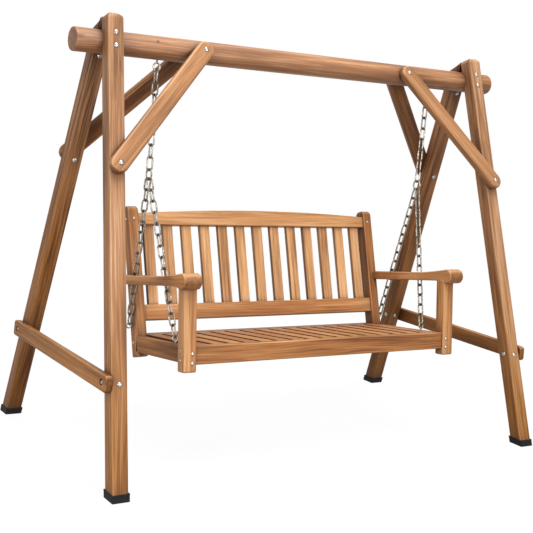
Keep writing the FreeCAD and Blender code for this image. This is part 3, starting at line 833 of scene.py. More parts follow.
def tube(body: Body, path: Sequence[Vector], radius: Callable[[int], float], sides: int,
         closed: bool) -> None:
    """Sweeps a round wire along a path.

    Args:
        body: The mesh that gets the wire.
        path: Points of its centre line.
        radius: Half its thickness at a point's number.
        sides: How many sides it has.
        closed: Whether the last point joins the first.
    """
    last = len(path) - 1
    rings = []
    lead = REARWARD
    for index, point in enumerate(path):
        after = path[(index + 1) % len(path)] if closed else path[min(index + 1, last)]
        before = path[index - 1] if closed else path[max(index - 1, 0)]
        way = (after - before).normalized()
        if abs(way.dot(lead)) > ALMOST_ALONG:
            lead = RIGHT
        lead = (lead - way * lead.dot(way)).normalized()
        other = way.cross(lead)
        ring = []
        for angle in round_angles(sides):
            arm = lead * math.cos(angle) + other * math.sin(angle)
            ring.append(body.verts.new(point + arm * radius(index)))
        rings.append(ring)
    if closed:
        bridge(body, rings, closed)
    else:
        capped(body, rings)


def mark(mesh: Mesh, name: str, domain: Domain, values: Sequence[float]) -> None:
    """Stores one number for each point or face of a mesh."""
    mesh.attributes.new(name, Kind.NUMBER.value, domain.value).data.foreach_set("value", values)


def mark_vectors(mesh: Mesh, name: str, values: Sequence[float]) -> None:
    """Stores one vector for each point of a mesh."""
    stored = mesh.attributes.new(name, Kind.VECTOR.value, Domain.POINT.value)
    stored.data.foreach_set("vector", values)


def mark_grime(mesh: Mesh, amount: Callable[[Vector], float]) -> None:
    """Stores how far the plating is darkened at each point, as grime and painted shade, from a rule for a
    place in millimetres.
    """
    values = [share(amount(vertex.co / MM), 0.0, 1.0) for vertex in mesh.vertices]
    mark(mesh, "grime", Domain.POINT, values)


@dataclass
class Grain:
    """How a piece lies in its log: its frame, the axis that the fibres follow and what sets it apart."""

    place: Matrix
    along: Along
    seed: int
    shade: float | None = None
    # How much painted shade the sides carry
    dark_sides: float = 0.0

    def mark(self, mesh: Mesh) -> None:
        """Stores where each point lies in the log, and which faces are ends, edges and sides.

        Args:
            mesh: The piece's mesh, in metres.
        """
        pick = random.Random(self.seed)
        angle = pick.uniform(0.0, 2.0 * math.pi)
        pith = pick.uniform(*PITH_REACH)
        away = (pith * math.cos(angle), pith * math.sin(angle), pick.uniform(0.0, LOG_LENGTH))
        drawn = pick.random()
        inverse = self.place.inverted()
        axis = self.along.value
        across = [index for index in range(3) if index != axis]
        fibres: list[float] = []
        for vertex in mesh.vertices:
            own = (inverse @ (vertex.co / MM)) * MM
            fibres += [own[across[0]] + away[0], own[across[1]] + away[1], own[axis] + away[2]]
        mark_vectors(mesh, "grain", fibres)
        tone = drawn if self.shade is None else self.shade
        mark(mesh, "tone", Domain.POINT, [tone] * len(mesh.vertices))
        self.mark_faces(mesh, inverse.to_3x3())

    def mark_faces(self, mesh: Mesh, turn: Matrix) -> None:
        """Stores which faces are end grain, upper edges with wear and a painted highlight, and lower edges or
        sides with painted shade.

        Args:
            mesh: The piece's mesh.
            turn: Takes directions into the piece's own frame.
        """
        ends: list[float] = []
        edges: list[float] = []
        shade_marks: list[float] = []
        for face in mesh.polygons:
            facing = (turn @ face.normal).normalized()
            ends.append(share(abs(facing[self.along.value]), *END_FACES))
            edge = share(1.0 - max(abs(part) for part in facing), *EDGE_FACES)
            # Upper edges are paler: wear, and painted highlight
            edges.append(edge * max(0.0, UPPER_EDGE_WEAR_AND_HIGHLIGHT[0] + UPPER_EDGE_WEAR_AND_HIGHLIGHT[1] * face.normal.z))
            # Lower edges, and the sides of slats in their gaps, get painted shade
            lower = edge * max(0.0, -LOWER_EDGE_SHADE * face.normal.z)
            shade_marks.append(max(lower, self.dark_sides * share(abs(facing[0]), *SIDE_FACES)))
        for name, values in (("end_face", ends), ("edge", edges), ("recess", shade_marks)):
            mark(mesh, name, Domain.FACE, values)


@dataclass
class Board:
    """One piece of timber: an outline drawn out to a depth in its own frame, in millimetres."""

    outline: list[Point]
    span: Point
    place: Matrix
    grain: Along
    soften: float
    cuts: list[Cut] = field(default_factory=list)
    bores: list[tuple[Vector, Vector, float]] = field(default_factory=list)
    # How much painted shade the sides of the board carry, as in the gaps between slats
    dark_sides: float = 0.0

    def solid(self) -> Body:
        """Draws the outline out, trims it and softens its edges.

        Returns:
            The body in the board's own frame.
        """
        body = bmesh.new()
        ring = [body.verts.new((u, v, self.span[0])) for u, v in self.outline]
        draw_out(body, ring, self.span[1] - self.span[0])
        inverse = self.place.inverted()
        for point, normal in self.cuts:
            way = (inverse.to_3x3() @ normal).normalized()
            parts = body.verts[:] + body.edges[:] + body.faces[:]
            sawn = bmesh.ops.bisect_plane(body, geom=parts, plane_co=inverse @ point, plane_no=way,
                                          clear_outer=True)
            rim = [part for part in sawn["geom_cut"] if isinstance(part, bmesh.types.BMEdge)]
            bmesh.ops.edgeloop_fill(body, edges=rim)
        face_outwards(body)
        least = math.radians(SOFTENED_ANGLE)
        corners = [edge for edge in body.edges if edge.is_manifold and edge.calc_face_angle() > least]
        bmesh.ops.bevel(body, geom=corners, offset=self.soften, offset_type="OFFSET", segments=EDGE_STEPS,
                        profile=0.5, affect="EDGES", clamp_overlap=False, loop_slide=True)
        return body

    def mesh(self, name: str, seed: int, shade: float | None = None) -> Mesh:
        """Builds the board in metres where it belongs, with its grain on it.

        Args:
            name: The mesh's name.
            seed: Picks this board's pith and phase, and its shade where none is given.
            shade: How pale the board is.

        Returns:
            The finished mesh.
        """
        body = self.solid()
        body.transform(Matrix.Scale(MM, 4) @ self.place)
        face_outwards(body)
        mesh = to_mesh(body, name)
        if self.bores:
            mesh = self.bored(mesh)
        mesh = softly_shaded(mesh, BOARD_CRISP)
        mesh.name = name
        Grain(self.place, self.grain, seed, shade, self.dark_sides).mark(mesh)
        return mesh

    def bored(self, mesh: Mesh) -> Mesh:
        """Cuts the board's round holes.

        Args:
            mesh: The board's mesh.

        Returns:
            The mesh with the holes in it.
        """
        drill = bmesh.new()
        for start, end, radius in self.bores:
            way = end - start
            turn = UP.rotation_difference(way).to_matrix().to_4x4()
            place = Matrix.Scale(MM, 4) @ Matrix.Translation((start + end) / 2) @ turn
            bmesh.ops.create_cone(drill, cap_ends=True, segments=BORE_SIDES, radius1=radius, radius2=radius,
                                  depth=way.length, matrix=place)
        face_outwards(drill)
        tool = new_object("drill_helper", to_mesh(drill, "drill"))
        holder = new_object("boring_helper", mesh)
        hole = holder.modifiers.new("holes", "BOOLEAN")
        hole.operation = "DIFFERENCE"
        hole.solver = "EXACT"
        hole.object = tool
        made = baked(holder)
        discard(tool)
        return made


def in_use(sockets: Iterable[Socket], name: str) -> Socket:
    """The socket of a name that a node's options leave in use."""
    return [socket for socket in sockets if socket.enabled and socket.name == name][0]


class RepeatTree(NodeSheet):
    """A geometry tree with named inputs that repeats a template."""

    def __init__(self, name: str, **inputs: str) -> None:
        """Starts a tree that takes and gives geometry.

        Args:
            name: The tree's name.
            **inputs: The kind of each input that only this tree has.
        """
        super().__init__(bpy.data.node_groups.new(name, "GeometryNodeTree"))
        self.sockets: dict[str, str] = {}
        sides = self.tree.interface
        for title, kind in {"Template": "Geometry", **inputs, "Seed": "Int", "Finish": "Material"}.items():
            opened = sides.new_socket(name=title, in_out="INPUT", socket_type="NodeSocket" + kind)
            self.sockets[title] = opened.identifier
        sides.new_socket(name="Geometry", in_out="OUTPUT", socket_type="NodeSocketGeometry")
        self.given = self.node("NodeGroupInput").outputs

    def chance(self, kind: Kind, low: object, high: object, shift: int) -> Socket:
        """Draws a seeded random value for each copy.

        Args:
            kind: What the value is.
            low: Smallest value.
            high: Largest value.
            shift: Added to the seed, so that values differ.

        Returns:
            The value.
        """
        # The limits of a vector are the node's first inputs, those of a number come next
        first = 0 if kind is Kind.VECTOR else 2
        feeds = {first: low, first + 1: high, "Seed": self.math("ADD", self.given["Seed"], shift)}
        return in_use(self.node("FunctionNodeRandomValue", feeds, data_type=kind.value).outputs, "Value")

    def stored(self, name: str) -> Socket:
        """Reads a vector that the geometry carries."""
        made = self.node("GeometryNodeInputNamedAttribute", {"Name": name}, data_type=Kind.VECTOR.value)
        return in_use(made.outputs, "Attribute")

    def store(self, geometry: Socket, name: str, kind: Kind, domain: Domain, value: Socket) -> Socket:
        """Keeps a value on the geometry under a name.

        Args:
            geometry: What gets the value.
            name: The value's name.
            kind: What the value is.
            domain: What it belongs to.
            value: The value.

        Returns:
            The geometry with the value on it.
        """
        options = {"data_type": kind.value, "domain": domain.value}
        made = self.node("GeometryNodeStoreNamedAttribute", {0: geometry, "Name": name}, **options)
        self.put(in_use(made.inputs, "Value"), value)
        return made.outputs[0]

    def row(self) -> Socket:
        """Points in a row, as the inputs Count, Start and Step say."""
        feeds = {"Count": self.given["Count"], "Start Location": self.given["Start"],
                 "Offset": self.given["Step"]}
        return self.node("GeometryNodeMeshLine", feeds, mode="OFFSET", count_mode="TOTAL").outputs[0]

    def copies(self, points: Socket, instance: Socket, **turn: Socket) -> Socket:
        """Sets a copy on every point, turned if a Rotation is given."""
        feeds = {"Points": points, "Instance": instance, **turn}
        return self.node("GeometryNodeInstanceOnPoints", feeds).outputs[0]

    def real(self, copies: Socket) -> Socket:
        """Makes copies real geometry."""
        return self.node("GeometryNodeRealizeInstances", {0: copies}).outputs[0]

    def close(self, geometry: Socket) -> None:
        """Gives the geometry its finish and ends the tree."""
        finish = self.node("GeometryNodeSetMaterial", {0: geometry, "Material": self.given["Finish"]})
        self.node("NodeGroupOutput", {0: finish.outputs[0]})

    def run(self, template: Thing, values: dict[str, object]) -> Mesh:
        """Runs the tree on a template.

        Args:
            template: The object whose mesh is the tree's first input, which is used up.
            values: The other inputs by name.

        Returns:
            The plain mesh that comes out.
        """
        repeat = template.modifiers.new("repeat", "NODES")
        repeat.node_group = self.tree
        for name, value in values.items():
            repeat[self.sockets[name]] = value
        return baked(template)


class SlatTree(RepeatTree):
    """Slats side by side along a line, each from its own stretch of the log."""

    def __init__(self) -> None:
        """Builds the tree."""
        super().__init__("slat_row", Count="Int", Start="Vector", Step="Vector")
        copies = self.copies(self.row(), self.given["Template"])
        shade = self.chance(Kind.NUMBER, 0.0, 1.0, 0)
        toned = self.store(copies, "tone", Kind.NUMBER, Domain.COPY, shade)
        shift = self.chance(Kind.VECTOR, *LOG_SHIFTS, 1)
        real = self.real(self.store(toned, "log_shift", Kind.VECTOR, Domain.COPY, shift))
        total = self.vector("ADD", self.stored("grain"), self.stored("log_shift"))
        self.close(self.store(real, "grain", Kind.VECTOR, Domain.POINT, total))


class ChainTree(RepeatTree):
    """Links along Z, each turned a quarter from the one before and a little askew."""

    def __init__(self) -> None:
        """Builds the tree."""
        super().__init__("chain_run", Count="Int", Start="Vector", Step="Vector", Askew="Float")
        quarters = self.math("MULTIPLY", self.node("GeometryNodeInputIndex").outputs[0], math.pi / 2)
        chance = self.chance(Kind.NUMBER, -1.0, 1.0, 0)
        skewed = self.math("MULTIPLY_ADD", chance, self.given["Askew"], quarters)
        turn = self.node("ShaderNodeCombineXYZ", {"Z": skewed}).outputs[0]
        self.close(self.real(self.copies(self.row(), self.given["Template"], Rotation=turn)))


class FastenerTree(RepeatTree):
    """A head on every given point, facing along the point's own direction."""

    def __init__(self) -> None:
        """Builds the tree."""
        super().__init__("fasteners", Head="Object")
        head = self.node("GeometryNodeObjectInfo", {"Object": self.given["Head"]}, transform_space="ORIGINAL")
        aimed = self.node("FunctionNodeAlignRotationToVector", {"Vector": self.stored("facing")}, axis="Z")
        feeds = {"Axis": (0.0, 0.0, 1.0), "Angle": self.chance(Kind.NUMBER, 0.0, 2.0 * math.pi, 0)}
        twist = self.node("FunctionNodeAxisAngleToRotation", feeds)
        feeds = {"Rotation": aimed.outputs[0], "Rotate By": twist.outputs[0]}
        turned = self.node("FunctionNodeRotateRotation", feeds, rotation_space="LOCAL").outputs[0]
        heads = self.copies(self.given["Template"], head.outputs["Geometry"], Rotation=turned)
        self.close(self.real(heads))


@dataclass(frozen=True)
class Fasteners:
    """Shapes of the bolt heads, nuts and screw heads, in millimetres."""

    bolt_profile: tuple[Point, ...] = ((10.0, -1.0), (10.0, 0.6), (9.7, 1.2), (8.9, 2.0), (7.6, 3.0),
                                       (5.9, 3.9), (4.0, 4.5), (2.0, 4.9), (0.0, 5.0))
    screw_profile: tuple[Point, ...] = ((4.0, -2.0), (4.0, 0.0), (3.6, 0.35), (1.5, 0.4), (1.2, -0.9),
                                        (0.0, -1.1))
    bolt_sides: int = 28
    bench_bolt_sides: int = 24
    bench_bolt_scale: float = 0.74
    screw_sides: int = 14
    # Share of the head's height from its base that carries painted shade
    grimy_share: float = 0.45
    nut_width: float = 13.0
    nut_height: float = 6.5
    nut_chamfer: float = 0.7
    bolt_diameter: float = 8.0
    bolt_tip_rise: float = 0.7
    bolt_tip_chamfer: float = 0.6
    bolt_tip_sides: int = 24

    def turned(self, name: str, profile: Sequence[Point], sides: int) -> Thing:
        """Turns a head from its profile, in metres at the origin, facing up Z.

        Args:
            name: The object's name.
            profile: Radius and height of each step, from the rim to the middle.
            sides: How many sides the turning has.

        Returns:
            The head.
        """
        body = bmesh.new()
        rings = []
        for radius, height in profile[:-1]:
            places = [(radius * math.cos(angle), radius * math.sin(angle)) for angle in round_angles(sides)]
            rings.append([body.verts.new((x, y, height)) for x, y in places])
        bridge(body, rings)
        rim = rings[-1]
        tip = body.verts.new((0.0, 0.0, profile[-1][1]))
        for step in range(sides):
            body.faces.new((rim[step], rim[(step + 1) % sides], tip))
        body.faces.new(rings[0])
        mesh = finished(body, name)
        # Paints shade on the low rim of the head, darkest at its base
        mark_grime(mesh, lambda point: 1.0 - point.z / (self.grimy_share * profile[-1][1]))
        return new_object(name, mesh)

    def nut(self) -> Thing:
        """Makes a hexagonal nut with chamfered corners on the end of its bolt.

        Returns:
            The nut's template.
        """
        body = bmesh.new()
        radius = self.nut_width / math.sqrt(3.0)
        angles = round_angles(6)
        ring = [body.verts.new((radius * math.cos(angle), radius * math.sin(angle), 0.0)) for angle in angles]
        draw_out(body, ring, self.nut_height)
        bmesh.ops.bevel(body, geom=body.edges[:], offset=self.nut_chamfer, segments=2, profile=0.5,
                        affect="EDGES")
        tip = Matrix.Translation((0.0, 0.0, self.nut_height / 2 + self.bolt_tip_rise))
        thick = self.bolt_diameter / 2
        bmesh.ops.create_cone(body, cap_ends=True, segments=self.bolt_tip_sides, radius1=thick,
                              radius2=thick - self.bolt_tip_chamfer, depth=self.nut_height, matrix=tip)
        return new_object("nut_template", finished(body, "nut_template"))


class Workshop:
    """The finishes and trees that every sub-assembly shares, and the seeds of the pieces that it enters."""

    def __init__(self) -> None:
        """Mixes the finishes and builds the trees."""
        self.slats = SlatTree()
        self.chains = ChainTree()
        self.heads = FastenerTree()
        self.fasteners = Fasteners()
        self.seed = FIRST_SEED
        self.finishes = {finish.name: finish.material() for finish in FINISHES}

    def next_seed(self) -> int:
        """A fixed seed for the next piece."""
        self.seed += 1
        return self.seed

    def keep(self, name: str, mesh: Mesh, body: str, slot: str, *nodes: str) -> None:
        """Enters a finished mesh as a piece that stands for its nodes.

        Args:
            name: The piece's name.
            mesh: Its mesh, in metres where it belongs.
            body: The body that it moves with.
            slot: The record's material slot of its finish.
            *nodes: The nodes that it stands for.
        """
        piece = new_object(name, mesh)
        piece.data.materials.clear()
        piece.data.materials.append(self.finishes[slot])
        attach(piece, body)
        if nodes:
            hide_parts(*nodes)
        LOG.info("%s: %d faces on %s", name, len(mesh.polygons), body)

    def timber(self, node: str, board: Board, body: str, slot: str) -> None:
        """Builds a board and enters it under its node's name."""
        name = "timber_" + node
        self.keep(name, board.mesh(name, self.next_seed(), SHADES.get(node)), body, slot, node)

    def heads_on(self, name: str, head: Thing, bolts: Sequence[Bolt], body: str, *nodes: str) -> None:
        """Sets a head on every bolt place and enters them as one piece.

        Args:
            name: The piece's name.
            head: The head's template, which is used up.
            bolts: Each place and the direction that the head faces.
            body: The body that the piece moves with.
            *nodes: The nodes that it stands for.
        """
        points = bpy.data.meshes.new(name + "_points")
        points.from_pydata([tuple(point * MM) for point, _ in bolts], [], [])
        mark_vectors(points, "facing", [part for _, way in bolts for part in way.normalized()])
        values = {"Head": head, "Seed": self.next_seed(), "Finish": self.finishes["bolt_steel"]}
        mesh = self.heads.run(new_object(name + "_points", points), values)
        discard(head)
        self.keep(name, mesh, body, "bolt_steel", *nodes)

    def slat_row(self, board: Board, count: int, step: Vector, slot: str) -> Mesh:
        """Repeats a slat along a line in its own frame.

        Args:
            board: The first slat, whose place is the frame of the row.
            count: How many slats there are.
            step: From one slat to the next, in millimetres.
            slot: The material slot of the finish.

        Returns:
            The row's mesh at its place.
        """
        place = board.place
        board.place = UNMOVED
        template = new_object("slat_template", board.mesh("slat_template", self.next_seed()))
        values = {"Count": count, "Start": (0.0, 0.0, 0.0), "Step": tuple(step * MM),
                  "Seed": self.next_seed(), "Finish": self.finishes[slot]}
        mesh = self.slats.run(template, values)
        turn = place.copy()
        turn.translation = place.translation * MM
        mesh.transform(turn)
        return mesh


def both(bolts: Sequence[Bolt]) -> list[Bolt]:
    """Bolt places of the right-hand side with their mirror images."""
    flip = Side.LEFT.mirror.to_3x3()
    return list(bolts) + [(flip @ point, flip @ way) for point, way in bolts]


@dataclass
class Stand:
    """The two A-shaped end frames, the beam between them and what holds them together."""

    shop: Workshop
    beam_height: float = 1595.0
    beam_radius: float = 46.0
    beam_half_length: float = 1047.5
    beam_end_round: float = 5.0
    beam_end_middle: float = 0.29
    beam_end_run: float = 20.0
    beam_skin: float = 0.5
    beam_stations: int = 61
    beam_sides: int = 72
    beam_waves: int = 7
    wave_rates: Point = (2.0, 7.0)
    wave_phases: Point = (0.0, 6.3)
    wave_turns: tuple[int, int] = (0, 3)
    wave_sizes: Point = (0.1, 0.28)
    beam_seed: int = 7
    beam_grain_seed: int = 31
    leg_x: float = 911.0
    leg_width: float = 64.0
    leg_depth: float = 66.0
    leg_round: float = 8.0
    leg_rise: float = 110.0
    leg_stock: float = 1.12
    leg_top_roll: float = 26.0
    leg_top_ease: float = 13.0
    splay: float = 3.3
    foot_reach: float = 544.0
    reach_at_beam: float = 60.0
    rear_slope: float = 27.0
    cap_height: float = 28.0
    cap_base: float = 6.0
    cap_wall: float = 3.2
    cap_round: float = 4.0
    cap_least_round: float = 1.5
    cap_foot: tuple[Point, ...] = ((0.0, -1.6), (0.7, -0.5), (1.8, 0.0))
    cap_bead: tuple[Point, ...] = ((-6.0, 0.0), (-5.0, 0.5), (-3.5, 0.9), (-1.8, 0.8), (-0.5, 0.1),
                                   (0.0, -0.9), (-0.4, -2.6), (-3.0, -3.1))
    brace_width: float = 72.0
    brace_thickness: float = 36.0
    brace_round: float = 12.0
    brace_x: float = 518.0
    brace_leg_height: float = 1153.0
    brace_housing: float = 5.0
    stretcher_level: float = 395.0
    stretcher_height: float = 64.0
    stretcher_thickness: float = 26.0
    stretcher_overhang: float = 6.0
    stretcher_corner: float = 14.0
    stretcher_round: float = 5.0
    beam_bolt_spacing: float = 50.0
    beam_bolt_drop: float = 12.0
    rear_bolt_drop: float = 62.0
    recess_radius: float = 12.0
    recess_depth: float = 8.0
    recess_mouth: float = 10.0

    @property
    def lean(self) -> float:
        """How far each leg leans in its end frame, in degrees."""
        return math.degrees(math.atan2(self.foot_reach - self.reach_at_beam, self.beam_height))

    @property
    def end_frame(self) -> Matrix:
        """Where the right-hand end frame stands."""
        return Matrix.Translation((self.leg_x, 0.0, self.beam_height)) @ spin(-self.splay, "Y")

    def leg_place(self, end: End) -> Matrix:
        """Where a right-hand leg stands, with Z along it."""
        aside = Matrix.Translation((0.0, end.value * self.reach_at_beam, 0.0))
        return self.end_frame @ aside @ spin(end.value * self.lean, "X")

    def leg_point(self, end: End, face: int, height: float) -> Vector:
        """Finds a point on the middle line of a leg's face.

        Args:
            end: Which leg.
            face: -1 for its front face, 1 for its rear face.
            height: Height above the floor.

        Returns:
            The point on the right-hand leg.
        """
        place = self.leg_place(end)
        start = place @ Vector((0.0, face * self.leg_depth / 2, 0.0))
        along = place.to_3x3() @ UP
        return start + along * ((height - start.z) / along.z)

    def beam_level(self, end: End) -> float:
        """How far along a leg the beam's axis passes it."""
        return (self.leg_place(end).inverted() @ self.end_frame.translation).z

    def dress(self) -> None:
        """Builds every piece of the stand."""
        self.beam()
        for side in Side:
            for end in End:
                self.leg(side, end)
                self.foot_cap(side, end)
                self.brace(side, end)
            self.stretcher(side)
        self.bolts()

    def beam_sections(self) -> list[Point]:
        """Lists where the log's rings of points lie.

        Returns:
            Each ring's place along the log, and how far it is drawn in at the soft ends.
        """
        half, soft = self.beam_half_length, self.beam_end_round
        middle = self.beam_end_middle * soft
        first = [(half, soft), (half - middle, middle), (half - soft, 0.0)]
        ends = half - self.beam_end_run
        sections = [(-x, drawn_in) for x, drawn_in in first]
        sections += [(x, 0.0) for x in spread(self.beam_stations, -ends, ends)]
        return sections + first[::-1]

    def beam(self) -> None:
        """Turns the log beam, with a slight wander in its thickness and softened ends."""
        pick = random.Random(self.beam_seed)
        waves = []
        for _ in range(self.beam_waves):
            rate, phase = pick.uniform(*self.wave_rates), pick.uniform(*self.wave_phases)
            waves.append((rate, phase, pick.randint(*self.wave_turns), pick.uniform(*self.wave_sizes)))
        body = bmesh.new()
        rings = []
        for x, drawn_in in self.beam_sections():
            ring = []
            for angle in round_angles(self.beam_sides):
                swells = [size * math.sin(x * MM * rate + phase + turns * angle)
                          for rate, phase, turns, size in waves]
                radius = self.beam_radius - self.beam_skin - drawn_in + sum(swells)
                ring.append(body.verts.new((x, radius * math.cos(angle), radius * math.sin(angle))))
            rings.append(ring)
        capped(body, rings)
        place = Matrix.Translation((0.0, 0.0, self.beam_height))
        mesh = softly_shaded(finished(body, "timber_beam", place), ROUND_CRISP)
        Grain(place, Along.LENGTH, self.beam_grain_seed).mark(mesh)
        mesh.attributes["edge"].data.foreach_set("value", [0.0] * len(mesh.polygons))
        self.shop.keep("timber_beam", mesh, "stand", "beam_log", "beam")

    def leg(self, side: Side, end: End) -> None:
        """Shapes a square leg: rolled over at the top in front, and mitred to the front leg at the rear.

        Args:
            side: The leg's side.
            end: The leg's end.
        """
        half = self.leg_depth / 2
        low = -self.beam_height * self.leg_stock
        rise = self.leg_rise
        cuts = [(UP * self.cap_base, -UP)]
        if end is End.FRONT:
            roll = self.leg_top_roll
            corners = [(-half, low, 0.0), (half, low, 0.0), (half, rise, 0.0), (-half, rise, roll)]
            outline = rounded(corners, ROLL_STEPS)
            cuts += self.top_eases(side)
        else:
            outline = rectangle((-half, low), (half, rise + self.leg_depth))
            cuts += self.mitres(side)
        place = side.mirror @ self.leg_place(end) @ SIDEWAYS
        layer = (-self.leg_width / 2, self.leg_width / 2)
        board = Board(outline, layer, place, Along.HEIGHT, self.leg_round, cuts)
        self.shop.timber(f"{end.word}_leg_{side.word}", board, "stand", "leg_timber")

    def mitres(self, side: Side) -> list[Cut]:
        """Lays the cuts that fit a rear leg's top to the front leg and slope it.

        Args:
            side: The leg's side.

        Returns:
            Each cut's point, and the way to its waste.
        """
        front = side.mirror @ self.leg_place(End.FRONT)
        corner = front @ Vector((0.0, self.leg_depth / 2, self.leg_rise - self.leg_round))
        slope = math.radians(self.rear_slope)
        upward = Vector((0.0, math.sin(slope), math.cos(slope)))
        return [(corner, front.to_3x3() @ -REARWARD), (corner, upward)]

    def top_eases(self, side: Side) -> list[Cut]:
        """Lays the slanting cuts that ease the two side corners of a front leg's top.

        Args:
            side: The leg's side.

        Returns:
            Each cut's point, and the way to its waste.
        """
        place = side.mirror @ self.leg_place(End.FRONT)
        inset = self.leg_width / 2 - self.leg_top_ease
        cuts = []
        for way in (-1.0, 1.0):
            point = place @ Vector((way * inset, 0.0, self.leg_rise))
            cuts.append((point, place.to_3x3() @ Vector((way, 0.0, 1.0))))
        return cuts

    def foot_cap(self, side: Side, end: End) -> None:
        """Moulds a rubber cap around a foot, with a bead at its rim and a soft lower edge.

        Args:
            side: The foot's side.
            end: The foot's end.
        """
        place = side.mirror @ self.leg_place(end)
        along = (place.to_3x3() @ UP).normalized()
        steps = list(self.cap_foot) + [(self.cap_height + level, grow) for level, grow in self.cap_bead]
        body = bmesh.new()
        rings = []
        for level, grow in steps:
            out = self.cap_wall + grow
            x, y = self.leg_width / 2 + out, self.leg_depth / 2 + out
            ring = []
            for u, v in rectangle((-x, -y), (x, y), max(self.cap_least_round, self.cap_round + grow)):
                start = place @ Vector((u, v, 0.0))
                ring.append(body.verts.new(start + along * ((level - start.z) / along.z)))
            rings.append(ring)
        capped(body, rings)
        node = f"{end.word}_foot_cap_{side.word}"
        mesh = softly_shaded(finished(body, "rubber_" + node), ROUND_CRISP)
        self.shop.keep("rubber_" + node, mesh, "stand", "foot_rubber", node)

    def brace_ends(self) -> tuple[Vector, Vector, Vector]:
        """Finds where the right front brace lies.

        Returns:
            The centres of its low and high end on its back, and the way that it faces.
        """
        low = self.leg_point(End.FRONT, -1, self.brace_leg_height) + REARWARD * self.brace_housing
        high = Vector((self.brace_x, self.brace_housing - self.beam_radius, self.beam_height))
        return low, high, Vector((0.0, low.z - high.z, high.y - low.y)).normalized()

    def brace(self, side: Side, end: End) -> None:
        """Shapes a knee brace with round ends and softened edges.

        Args:
            side: The brace's side.
            end: The brace's end.
        """
        low, high, facing = self.brace_ends()
        along = (high - low).normalized()
        place = frame_matrix(low, along, facing.cross(along), facing)
        if end is End.REAR:
            place = REVERSED @ place
        half = self.brace_width / 2
        length = (high - low).length
        turn = spread(ARC_STEPS, 0.0, math.pi)
        outline = [(-half * math.sin(angle), half * math.cos(angle)) for angle in turn]
        outline += [(length + half * math.sin(angle), -half * math.cos(angle)) for angle in turn]
        layer = (0.0, self.brace_thickness)
        board = Board(outline, layer, side.mirror @ place, Along.LENGTH, self.brace_round)
        self.shop.timber(f"{end.word}_brace_{side.word}", board, "stand", "brace_timber")

    def stretcher_run(self) -> Point:
        """The stretcher's level in the end frame, and how far from the middle the legs cross it."""
        level = (self.stretcher_level - self.beam_height) / math.cos(math.radians(self.splay))
        return level, self.reach_at_beam - level * math.tan(math.radians(self.lean))

    def stretcher(self, side: Side) -> None:
        """Shapes a side stretcher, with a recess for the nut at each leg.

        Args:
            side: The stretcher's side.
        """
        level, reach = self.stretcher_run()
        end = reach + self.leg_depth / 2 / math.cos(math.radians(self.lean)) + self.stretcher_overhang
        tall = self.stretcher_height / 2
        outline = rectangle((-end, level - tall), (end, level + tall), self.stretcher_corner)
        inner = self.leg_width / 2
        outer = inner + self.stretcher_thickness
        place = side.mirror @ self.end_frame
        bores = []
        for way in (-1, 1):
            floor = place @ Vector((outer - self.recess_depth, way * reach, level))
            mouth = place @ Vector((outer + self.recess_mouth, way * reach, level))
            bores.append((floor, mouth, self.recess_radius))
        board = Board(outline, (inner, outer), place @ SIDEWAYS, Along.LENGTH, self.stretcher_round,
                      bores=bores)
        self.shop.timber(f"stretcher_{side.word}", board, "stand", "brace_timber")

    def leg_bolts(self) -> list[Bolt]:
        """Places the right-hand heads that hold the legs to the beam and to each other.

        Returns:
            Each head's place and the way that it faces.
        """
        places: list[Bolt] = []
        for end in End:
            place = self.leg_place(end)
            outward = place.to_3x3() @ (REARWARD * end.value)
            for offset in (-self.beam_bolt_spacing / 2, self.beam_bolt_spacing / 2):
                up = self.beam_level(end) - self.beam_bolt_drop + offset
                places.append((place @ Vector((0.0, end.value * self.leg_depth / 2, up)), outward))
        rear = self.leg_place(End.REAR)
        up = self.beam_level(End.REAR) - self.rear_bolt_drop
        places.append((rear @ Vector((0.0, -self.leg_depth / 2, up)), rear.to_3x3() @ -REARWARD))
        return places

    def brace_bolts(self) -> list[Bolt]:
        """Places the right-hand heads on the braces.

        Returns:
            Each head's place and the way that it faces.
        """
        low, high, facing = self.brace_ends()
        flip = REVERSED.to_3x3()
        places = [(point + facing * self.brace_thickness, facing) for point in (low, high)]
        places.append((flip @ places[1][0], flip @ facing))
        forward = self.leg_place(End.REAR).to_3x3() @ -REARWARD
        foot = self.leg_point(End.REAR, 1, self.brace_leg_height)
        return places + [(foot + forward * self.leg_depth, forward)]

    def bolts(self) -> None:
        """Sets the domed heads on legs, braces and stretchers, and the nuts in their recesses."""
        level, reach = self.stretcher_run()
        outward = self.end_frame.to_3x3() @ RIGHT
        floor = self.leg_width / 2 + self.stretcher_thickness - self.recess_depth
        ties: list[Bolt] = []
        nuts: list[Bolt] = []
        for end in End:
            ties.append((self.end_frame @ Vector((-self.leg_width / 2, end.value * reach, level)), -outward))
            forward = self.leg_place(end).to_3x3() @ -REARWARD
            ties.append((self.leg_point(end, -1, self.stretcher_level), forward))
            nuts.append((self.end_frame @ Vector((floor, end.value * reach, level)), outward))
        shapes = self.shop.fasteners
        groups = {"leg_bolts": self.leg_bolts(), "brace_bolts": self.brace_bolts(), "stretcher_bolts": ties}
        for name, places in groups.items():
            head = shapes.turned("head_template", shapes.bolt_profile, shapes.bolt_sides)
            self.shop.heads_on("domed_" + name, head, both(places), "stand", name)
        self.shop.heads_on("stretcher_nuts", shapes.nut(), both(nuts), "stand")


